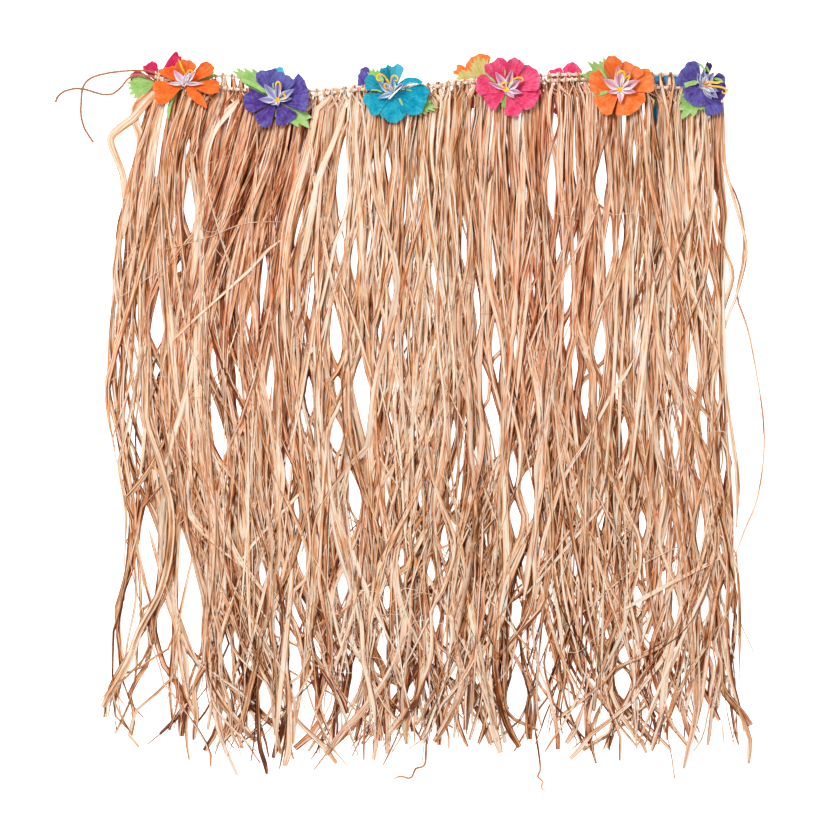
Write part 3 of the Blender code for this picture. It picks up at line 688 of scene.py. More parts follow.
def lying(y, layer, depth):
    """Z of a strand at its depth in the layer, from 0 underneath to 1 on top."""
    low = FLAT_Z[layer] + (WAIST_Z[layer] - FLAT_Z[layer]) * soft_step(
        (y - RAMP_FOOT) / (RAMP_TOP - RAMP_FOOT))
    return low + 0.7 + depth * (LAYER_DEEP - 1.4)


def dyed(rng, tone, warm, rusty, dark, y, folds):
    """Tone and warmth at each point across and along: every fold has its own painted shade, darker at
    both edges and with a painted highlight on the fold next to one edge; strands are stained in spots,
    the ends are duller, and towards the ends the tone is darker and has more contrast, which is painted
    shade."""
    count = len(tone)
    bands = rng.normal(0, 0.15, (count, 1, folds))
    # painted shade: both edges of every ribbon a little darker
    bands[..., (0, -1)] -= 0.1
    # painted highlight: a pale line on the fold next to one edge of each ribbon
    highlit_side = rng.random(count) < 0.5
    bands[highlit_side, :, 1] += 0.3
    bands[~highlit_side, :, -2] += 0.3
    spots = kinks(rng, count, y, (18, 80), (0.21, 0.17, 0.13, 0.09))[..., None]
    # painted shade: towards the ends the tone is darker and has more contrast
    low = (soft_step((-80 - y) / 300) * (1 - 0.35 * soft_step((-310 - y) / 80)))[..., None]
    full = 0.5 + (tone[:, None, None] + bands + spots - 0.5) * (1 + 0.65 * low) - 0.12 * low
    full = full - (dark[:, None] * soft_step((90 - y) / 200))[..., None]
    full = full[..., there_and_back(folds)]
    faded = (rusty - 0.4)[:, None, None] * soft_step((200 - y) / 330)[..., None]
    return full + 0.16 * faded, warm[:, None, None] - faded + 0 * full


def strand_set(rng, line, width, roll, depth, size, layer, folds, sharp=0.2):
    """Everything that a set of strands needs to be made: shape, folds, dye with painted shade, and
    numbers.
    """
    count = len(line)
    x_head = line[:, 0, 0]
    y = line[..., 1]
    step = np.linalg.norm(np.diff(line, axis=1), axis=-1)
    gone = np.concatenate([np.zeros((count, 1)), np.cumsum(step, axis=1)], axis=1)
    width = width * (1 - 0.45 * np.abs(np.sin(roll)))
    fold = np.clip(rng.normal(0, 1.25 * sharp, (count, 1, folds)), -0.45, 0.45)
    fold = fold + 0.06 * np.stack([kinks(rng, count, y, (40, 120)) for _ in range(folds)], -1)
    # painted shade: strands lying deeper in the pile, and all the back layer, are painted darker
    tone = rng.normal(0.58, 0.1, count) + 0.02 * (size - 4.3) + 0.36 * (depth - 0.5)
    tone = tone - (0.2 if layer == "back" else 0) - np.where(rng.random(count) < 0.15, 0.22, 0)
    tone += np.where(size < 1.9, rng.choice((0.3, 0.15, -0.2), count), 0)
    bunch = (x_head // 13).astype(int) + 40      # leaves off one palm, tied in together
    tone += rng.normal(0, 0.06, 80)[bunch]
    rusty = np.interp(x_head, *zip(*RUSTY))
    # painted shade: deeper strands, and all the back layer, are painted warmer, as light turns orange
    # between strands
    warm = rusty + rng.normal(0, 0.22, count) + 0.25 * (0.5 - depth)
    warm = warm + (0.15 if layer == "back" else 0)
    tone = tone - 0.16 * (rusty - 0.5) + np.interp(x_head, *zip(*SHADES))
    dark = DARK_PATCH[2] * np.exp(-((x_head - DARK_PATCH[0]) / DARK_PATCH[1]) ** 2)
    tone, warm = dyed(rng, tone, warm, rusty, dark, y, folds)
    place = np.array([place_of(x, y) for x, y in line[:, 0, :2]])
    return {"line": line, "width": width, "roll": roll, "crease": fold * width[..., None],
            "gone": gone, "tone": tone, "warm": warm, "number": rng.uniform(0, 200, count),
            "place": place}


def hang_strands(layer, seed, rings_each, folds, feet):
    """One layer of strands from the knots to the hem. feet are X of a head's strands from it."""
    rng = np.random.default_rng(seed)
    heads = HEADS[layer]
    head = np.repeat(np.arange(len(heads)), len(feet))
    count = head.size
    x_head = heads[head] + np.tile(feet, len(heads)) + rng.normal(0, 0.15, count)
    place = np.interp(x_head + rng.normal(0, 2.8, count), combs[:, STATIONS[0] - level[0]],
                      np.arange(len(combs)))
    top = waist_y(layer, x_head) - 2.6
    bottom = np.interp(place, np.arange(12) + 0.5, HEMS) + 2 + np.abs(rng.normal(0, 36, count))
    bottom += np.where(rng.random(count) < 0.58, rng.uniform(25, 250, count), 0)
    length = top - bottom
    near = np.array((0, 4, 9, 15, 23))           # rings close together where strands gather
    far = np.linspace(0, 1, rings_each - len(near) + 1)[1:]
    gone = np.concatenate([np.broadcast_to(near, (count, len(near))),
                           near[-1] + (length[:, None] - near[-1]) * far], axis=1)
    y = top[:, None] - gone
    left = length[:, None] - gone

    # Two heads make a lock, which spreads and narrows as one and drifts aside
    lock = head // 2
    locks = lock.max() + 1
    row = lock[:, None], rows_at(y)
    middle = np.array([place[lock == k].mean() for k in range(locks)])[lock]
    full = np.broadcast_to(level.astype(float), (locks, len(level)))
    spread = 0.95 + 0.42 * waves(rng, locks, full, (200, 460), (1.3, 1, 0.5))
    spread = (spread - 0.25 * soft_step((-180 - full) / 160))[row]
    x = combed(middle[:, None] + (place - middle)[:, None] * spread, y)
    x = x + waves(rng, locks, full, (300, 620), (10, 7, 2.5))[row]
    lean = -34 * np.exp(-((place - 3.1) / 1.25) ** 2) * rng.uniform(0.3, 1.3, locks)[lock]
    x = x + lean[:, None] * np.exp(-((y - 90) / 135) ** 2)
    # Each strand bends in long, middling and short runs, and its end flicks to one side
    for spans, sizes in (((180, 340), (32, 29, 24, 9)), ((70, 130), (11, 8, 5.5, 2)),
                         ((30, 65), (4.5, 2.4, 1, 0.4))):
        x = x + kinks(rng, count, y, spans, sizes)
    flick = np.where(rng.random((count, 1)) < 0.3, 60, 27) * rng.normal(0, 1, (count, 1))
    x = x + flick * np.clip(1 - left / rng.uniform(70, 150, (count, 1)), 0, 1) ** 1.5
    x = drawn_in(x, y, slack=0, pull=1.35)
    gather = soft_step((gone - (8 if layer == "back" else 0)) / 17)
    x = x_head[:, None] * (1 - gather) + x * gather

    size = np.clip(4.2 * np.exp(rng.normal(0, 0.45, count)), 1.4, 10.5)
    x = stand_open(x, y, np.broadcast_to(size[:, None] * 0.5, x.shape))
    width = size[:, None] * np.exp(0.42 * kinks(rng, count, y, (50, 150)).clip(-1.6, 1.4))
    width = np.minimum(width, 10) * (0.42 + 0.58 * soft_step(gone / 13))
    width = width * (0.7 + 0.3 * soft_step(left / 12)) * (0.88 + 0.12 * soft_step(left / 260))

    depth = np.clip(rng.random(locks)[lock] * 0.45 + rng.random(count) * 0.65 - 0.05, 0, 1)
    rise = 0.09 * waves(rng, count, y, (90, 240))
    z = lying(y, layer, np.clip(depth[:, None] + rise, 0, 1))
    z = z - np.clip(1 - left / 70, 0, 1) ** 2 * (3.4 if layer == "front" else 0)
    roll = 0.33 * kinks(rng, count, y, (50, 170))
    turned = (rng.random(count) < 0.5)[:, None] * math.pi        # half of them turn over once
    at = rng.uniform(-330, 300, (count, 1))
    roll = roll + turned * soft_step((at - y) / rng.uniform(25, 80, (count, 1)))
    return strand_set(rng, np.stack([x, y, z], axis=-1), width, roll, depth, size, layer, folds)


def match_tips(strands):
    """Lets the furthest ends fall where they lie on the table."""
    line, gone = strands["line"], strands["gone"]
    taken = np.zeros(len(line))
    for x, y in TIPS:
        off = np.abs(line[:, -1, 0] - x) + 0.25 * np.abs(line[:, -1, 1] - y) + taken
        k = int(np.argmin(off))
        taken[k] = 1e4
        late = soft_step(1 - (gone[k, -1] - gone[k]) / 170)
        line[k, :, 0] += (x - line[k, -1, 0]) * late
        line[k, :, 1] += (y - line[k, -1, 1]) * late


def drawn(route, rings_each):
    """A route of X, Y points as evenly spaced points of a smooth line."""
    line, gone = smooth_path(route, 4.0)
    at = np.linspace(0, gone[-1], rings_each)
    return np.stack([np.interp(at, gone, line[:, k]) for k in range(2)], axis=-1)


def single_strands(seed, rings_each, folds):
    """Ribbons that stand out from the rest: loops at the sides, broad pale ones, bent ones."""
    rng = np.random.default_rng(seed)
    size, pale, depth = np.array([row[:3] for row in SINGLES]).T
    line = np.stack([drawn(route, rings_each) for _, _, _, route in SINGLES])
    y = line[..., 1]
    z = np.where(depth[:, None] > 0, lying(y, "front", depth[:, None]), 1.0)
    z = z - 7.5 * soft_step((y - 379) / 8)
    line = np.concatenate([line, z[..., None]], axis=-1)
    ends = fades(np.linspace(0, 1, rings_each), 0.08, 0.12)
    width = size[:, None] * (0.3 + 0.7 * ends) * (1 + 0.12 * kinks(rng, len(size), y, (30, 90)))
    roll = 0.25 * kinks(rng, len(size), y, (60, 160))
    strands = strand_set(rng, line, width, roll, depth, size, "front", folds, sharp=0.1)
    strands["tone"] += (pale - strands["tone"].mean((1, 2)))[:, None, None]
    return strands


def tangle(seed, count, rings_each, tall, reach, sizes, tilt, bend, folds, above):
    """Loose ribbons and fibres that lie across the strands, each bending as it goes."""
    rng = np.random.default_rng(seed)
    y = rng.uniform(*tall, (count, 1))
    x = combed(rng.uniform(0.1, 11.9, (count, 1)), y)
    t = np.linspace(0, 1, rings_each)
    slope = rng.normal(0, tilt, (count, 1)) + rng.normal(0, bend, (count, 1)) * t
    slope = slope + rng.normal(0, bend * 0.6, (count, 1)) * np.sin(t * rng.uniform(3, 9, (count, 1)))
    slope = np.radians(slope)
    step = rng.uniform(*reach, (count, 1)) / (rings_each - 1)
    x = x + np.cumsum(np.sin(slope) * step, axis=1)
    y = y - np.cumsum(np.cos(slope) * step, axis=1)
    x = drawn_in(x, y, slack=4, pull=1)
    size = rng.uniform(*sizes, count)
    depth = rng.uniform(*above, count)
    tucked = 0.2 + 0.8 * fades(t, 0.14, 0.14)
    z = lying(y, "front", depth[:, None] * np.where(y > -250, tucked, 1.0))
    z = z - 3.0 * soft_step((-340 - y) / 60)
    width = size[:, None] * (0.3 + 0.7 * fades(t, 0.15, 0.3))
    roll = rng.normal(0, 0.35, (count, 1)) + 0 * y
    strands = strand_set(rng, np.stack([x, y, z], -1), width, roll, depth, size, "front", folds)
    hem = np.interp(strands["place"], np.arange(12) + 0.5, HEMS)
    stays = (y.min(1) > hem + 6) & (y.max(1) < 345)
    stays &= in_openings(x, y) < (0.5 if sizes[1] < 1 else 0.16)
    return {key: value[stays] for key, value in strands.items()}


def split_ends(strands, seed, layer, share, rings_each, folds):
    """Fibres split off the ends of some strands."""
    rng = np.random.default_rng(seed)
    chosen = np.flatnonzero(rng.random(len(strands["line"])) < share)
    t = np.linspace(0, 1, rings_each)
    lines = []
    for k in chosen:
        gone = strands["gone"][k]
        at = gone[-1] - rng.uniform(25, 90) + (rng.uniform(-20, 15) + 60) * t
        line = np.stack([np.interp(at, gone, strands["line"][k, :, c]) for c in range(3)], -1)
        over = np.clip(at - gone[-1], 0, None)
        line[:, 1] -= over
        line[:, 0] += rng.choice((-1, 1)) * (rng.uniform(4, 16) * t**1.6 + 1.0)
        line[:, 2] = np.maximum(line[:, 2] + rng.uniform(-0.5, 0.8), 0.4)
        lines.append(line)
    line = np.array(lines)
    size = rng.uniform(0.7, 2.0, len(line))
    width = size[:, None] * (0.35 + 0.65 * soft_step((1 - t) / 0.5))
    return strand_set(rng, line, width, 0 * line[..., 0], rng.uniform(0.2, 0.8, len(line)), size,
                      layer, folds)


def strand_group(strands, chosen):
    """The rings and readings of the chosen strands."""
    part = {key: value[chosen] for key, value in strands.items()}
    rings, across = ribbons(part["line"], part["width"], part["roll"], part["crease"])
    return rings, readings(across, part["gone"], part["tone"], part["warm"], part["number"])


back = hang_strands("back", 21, 50, 4, (-1.6, -1.3, 0, 1.3, 1.6))
front = hang_strands("front", 22, 62, 5, (-1.5, -1.1, 1.1, 1.5))
match_tips(front)
layers = {
    "back": [back, split_ends(back, 31, "back", 0.2, 7, 3)],
    "front": [front, split_ends(front, 32, "front", 0.28, 7, 3), single_strands(33, 34, 5)]
             + [tangle(*row) for row in TANGLES],
}
for layer, sets in layers.items():
    for number, (left, right) in enumerate(HANKS[layer], 1):
        groups = []
        longest = 0
        for strands in sets:
            chosen = (strands["place"] >= left) & (strands["place"] < right + (right == 12))
            if chosen.any():
                groups.append(strand_group(strands, chosen))
                longest = max(longest, strands["gone"][chosen, -1].max() * MM)
        name = "%s_hank_%02d" % (layer, number)
        hank = joined_mesh("raffia_" + name, groups, raffia, crease=24)
        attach(hank, "root")
        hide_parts(name)

# --- Back flowers --------------------------------------------------------------------------
# Six hibiscus of dyed polyester cloth, pressed face down between the back layer and the table
# and sewn through the middle to the waist. Their petals and leaves show over the cord.
PETAL_DYES = {                      # deep, middle and pale
    "orange": ("#D2500E", "#EA6C26", "#F49E68"),
    "purple": ("#2E1A52", "#4E3082", "#6E72B8"),
    "turquoise": ("#005F84", "#0094AE", "#4CBCD2"),
    "pink": ("#B4144A", "#DB3664", "#EC7A9C"),
    "sky_blue": ("#0078C8", "#12A2EC", "#5CC4F6"),
}
CLOTH = 0.4                         # thick
# Colour in the part, hub, petals as direction, half width, reach, squareness of the corners,
# longer side and paleness, and leaves as the direction and reach of each tooth
BACK_FLOWERS = (
    ("pink", (-309, 382), ((113, 27, 25, 0.25, 0, -0.3), (51, 13, 42, 0.3, 0, -0.35),
                           (176, 30, 31, 0.2, 0, 0), (250, 30, 33, 0.2, 0, -0.1),
                           (-20, 30, 30, 0.2, 0, 0)),
     (((228, 31), (216, 33), (204, 36), (193, 34), (181, 35), (170, 31), (160, 26)),
      ((-100, 30), (-108, 33), (-116, 30)))),
    ("turquoise", (-173, 368), ((80, 17, 32, 0.2, 0, 0.3), (150, 28, 28, 0.2, 0, 0),
                                (232, 32, 32, 0.2, 0, 0), (304, 32, 32, 0.2, 0, 0),
                                (20, 28, 28, 0.2, 0, 0)),
     (((192, 44), (200, 50), (207, 44)), ((20, 26), (30, 24)))),
    ("purple", (-51, 370), ((140, 23, 34, 0.08, -0.1, 0.1), (80, 24, 24, 0.2, 0, 0),
                            (205, 30, 30, 0.2, 0, 0), (-90, 22, 45, 0.2, 0, -0.1),
                            (0, 26, 26, 0.2, 0, 0)),
     (((80, 25), (90, 29), (100, 28), (109, 31), (117, 32), (124, 29)),
      ((165, 33), (172, 44), (178, 36)))),
    ("orange", (66, 382), ((110, 38, 32, 0.12, -0.1, 0.1), (152, 12, 36, 0.1, 0.04, 0.1),
                           (176, 16, 28, 0.2, 0, 0), (255, 30, 32, 0.2, 0, 0),
                           (-10, 28, 30, 0.2, 0, 0)),
     (((68, 25), (78, 28), (89, 28), (100, 30), (111, 29), (121, 27), (131, 24), (139, 19)),
      ((141, 24), (151, 30), (158, 31), (164, 34), (171, 33), (177, 38), (184, 43)))),
    ("pink", (163, 374), ((75, 28, 31, 0.2, 0, 0), (129, 25, 29, 0.2, 0, 0),
                          (200, 28, 27, 0.2, 0, 0), (262, 26, 33, 0.2, 0, -0.1),
                          (-10, 30, 28, 0.2, 0, 0)),
     (((28, 28), (36, 32), (44, 28)), ((209, 24), (216, 27), (223, 24)))),
    ("turquoise", (272, 374), ((95, 42, 19, 0.2, 0, 0.35), (24, 30, 24, 0.2, 0, 0.3),
                               (172, 30, 24, 0.2, 0, 0), (-98, 18, 50, 0.2, 0, -0.2),
                               (-35, 28, 28, 0.2, 0, 0)),
     (((226, 30), (235, 35), (244, 30)), ((302, 24), (310, 28), (318, 24)))),
)


def cloth_lobe(hub, direction, half, rim, height, inner, pale, number):
    """One closed lobe of cloth round a hub: rings of points, and what its material reads.

    rim is its reach at each point across, and height its z at each point out and across.
    """
    rows, points = height.shape
    t = np.linspace(0, 1, rows)[:, None]
    s = np.linspace(-1, 1, points)
    angle = np.radians(direction + half * s * (0.88 + 0.12 * soft_step(t / 0.3)))
    out = inner + (rim - inner) * t
    top = np.stack([hub[0] + out * np.cos(angle), hub[1] + out * np.sin(angle), height], -1)
    normal = np.cross(np.gradient(top, axis=0), np.gradient(top, axis=1))
    normal /= np.linalg.norm(normal, axis=-1, keepdims=True)
    under = top - CLOTH * normal * np.sign(normal[..., 2:])
    both = np.concatenate([under, top[:, ::-1]], axis=1)
    both[..., 2] = np.maximum(both[..., 2], TABLE_GAP)
    cloth = np.stack([out, 0.35 * half * s + 0 * out, np.full(out.shape, 7.7 * number)], -1)
    dye = np.stack([pale + 0 * out, t + 0 * out, np.abs(s) + 0 * out], -1)
    return (both, np.concatenate([cloth, cloth[:, ::-1]], axis=1),
            np.concatenate([dye, dye[:, ::-1]], axis=1))


def petal_rim(rng, reach, square, longer, points):
    """The reach of a petal at each point across: round corners and a shallowly scalloped rim."""
    s = np.linspace(-1, 1, points)
    bays = np.abs(np.sin(s * rng.uniform(2.0, 3.6) + rng.uniform(0, 3))) ** 0.6
    corner = np.abs(s) ** (3.6 if square < 0.5 else 0.95)
    return reach * (1 + longer * s - square * corner - 0.05 * (1 - bays)
                    + 0.03 * np.sin(s * 4.3 + rng.uniform(0, 6)) + 0.013 * np.sin(s * 13))


def toothed_rim(teeth, points, dip):
    """Direction, half width and rim of a leaf whose teeth reach the given places."""
    angles, reaches = np.array(sorted(teeth), float).T
    first, last = angles[0] - 3, angles[-1] + 3
    direction = np.linspace(first, last, points)
    between = (angles[1:] + angles[:-1]) / 2
    valley = np.minimum(reaches[1:], reaches[:-1]) * dip
    corners = np.concatenate([[first], np.stack([angles[:-1], between], 1).ravel(),
                              angles[-1:], [last]])
    lengths = np.concatenate([[reaches[0] * 0.75], np.stack([reaches[:-1], valley], 1).ravel(),
                              reaches[-1:], [reaches[-1] * 0.75]])
    return (first + last) / 2, (last - first) / 2, np.interp(direction, corners, lengths)


def cloth_piece(side, number, part, lobes, material, strips=()):
    """A mesh of cloth lobes and strips in place of a flower's part."""
    groups = [(both[None], {"cloth": cloth[None], "dye": dye[None]}) for both, cloth, dye in lobes]
    groups += list(strips)
    name = "flower_%d_%s" % (number, part)
    piece = joined_mesh(("pressed_" if side == "back" else "") + name, groups, material, crease=40)
    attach(piece, "root")
    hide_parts(side + "_" + name)


def dyed_cloth(name, deep, middle, pale):
    """Thin polyester cloth, heat-set in shape: the dye is mottled and worn a little paler at the rim,
    and the veins that run out to the rim and the soft creases, which are bumps, are also painted into
    its colour as painted shade and light."""
    material, tree, shader, cloth, dye = new_material(name, "cloth", "dye")
    paleness, out, _ = add(tree, "SeparateXYZ", {0: dye}, slice(3))
    mottle = grain(tree, cloth, (0.11, 0.14, 1.0), 4.0)      # dye pooled over some millimetres
    veins = grain(tree, cloth, (0.035, 0.85, 1.0), 2.0)      # heat-set veins, fanned from the hub
    crumple = grain(tree, cloth, (0.3, 0.4, 1.0), 3.0)       # soft creases a few millimetres apart
    weave = grain(tree, cloth, (2.2, 2.2, 1.0), 1.0)         # threads about half a millimetre apart
    rim = add(tree, "Math", {0: out, 1: 5.0}, operation="POWER")
    # painted shade and light: the vein and crease patterns that make the bumps also darken and lighten
    # the colour
    tone = total(tree, -0.705, (paleness, 1.0), (rim, 0.14), (veins, 0.65), (mottle, 0.9),
                 (crumple, 0.7))
    height = total(tree, 0.0, (crumple, 2.2), (weave, 0.25), (veins, 1.0))
    dyes = ((0.0, deep), (0.42, middle), (1.0, pale))
    plug(tree, shader, {
        "Base Color": add(tree, "ValToRGB", {"Fac": tone}, stops=dyes),
        "Normal": add(tree, "Bump", {"Height": height, "Strength": 0.5, "Distance": 0.0006}),
        "Roughness": 0.85, "Specular IOR Level": 0.2, "Sheen Weight": 0.12})
    return material


petal_cloth = {colour: dyed_cloth("polyester_cloth_" + colour, *dyes)
               for colour, dyes in PETAL_DYES.items()}
leaf_cloth = dyed_cloth("polyester_cloth_green", "#6BA23E", "#94BC68", "#B9D69A")
old_leaf_cloth = dyed_cloth("polyester_cloth_yellow_green", "#A0A044", "#C4BA6E", "#D8CC94")
t = np.linspace(0, 1, 10)[:, None]
for number, (colour, hub, petals, leaves) in enumerate(BACK_FLOWERS, 1):
    rng = np.random.default_rng(60 + number)
    points = 21
    s = np.linspace(-1, 1, points)
    lobes = []
    for k, (direction, half, reach, square, longer, pale) in enumerate(petals):
        dish = 3.6 * (1 - soft_step((t - 0.5) / 0.5)) + 0.45 + 0.45 * (k % 3)
        ripple = 0.35 * np.sin(5 * s + rng.uniform(0, 6)) * t**2
        rim = petal_rim(rng, reach, square, longer, points)
        lobes.append(cloth_lobe(hub, direction, half, rim, dish + np.abs(ripple), 2.5, pale, k))
    dye = "sky_blue" if number == 6 else colour      # a second, brighter dye lot of blue cloth: partly its own bluer hue and partly painted light, as these petals lie in shade under the cords
    cloth_piece("back", number, "petals", lobes, petal_cloth[dye])

    points = 49
    s = np.linspace(-1, 1, points)
    lobes = []
    for k, teeth in enumerate(leaves):
        direction, half, rim = toothed_rim(teeth, points, 0.86)
        height = 6.2 + 0.1 * k - 1.4 * t + 0.3 * np.abs(s) * t
        lobes.append(cloth_lobe(hub, direction, half, rim, height, 3.0, 0.0, 9 + k))
    green = old_leaf_cloth if colour == "orange" else leaf_cloth
    cloth_piece("back", number, "leaves", lobes, green)

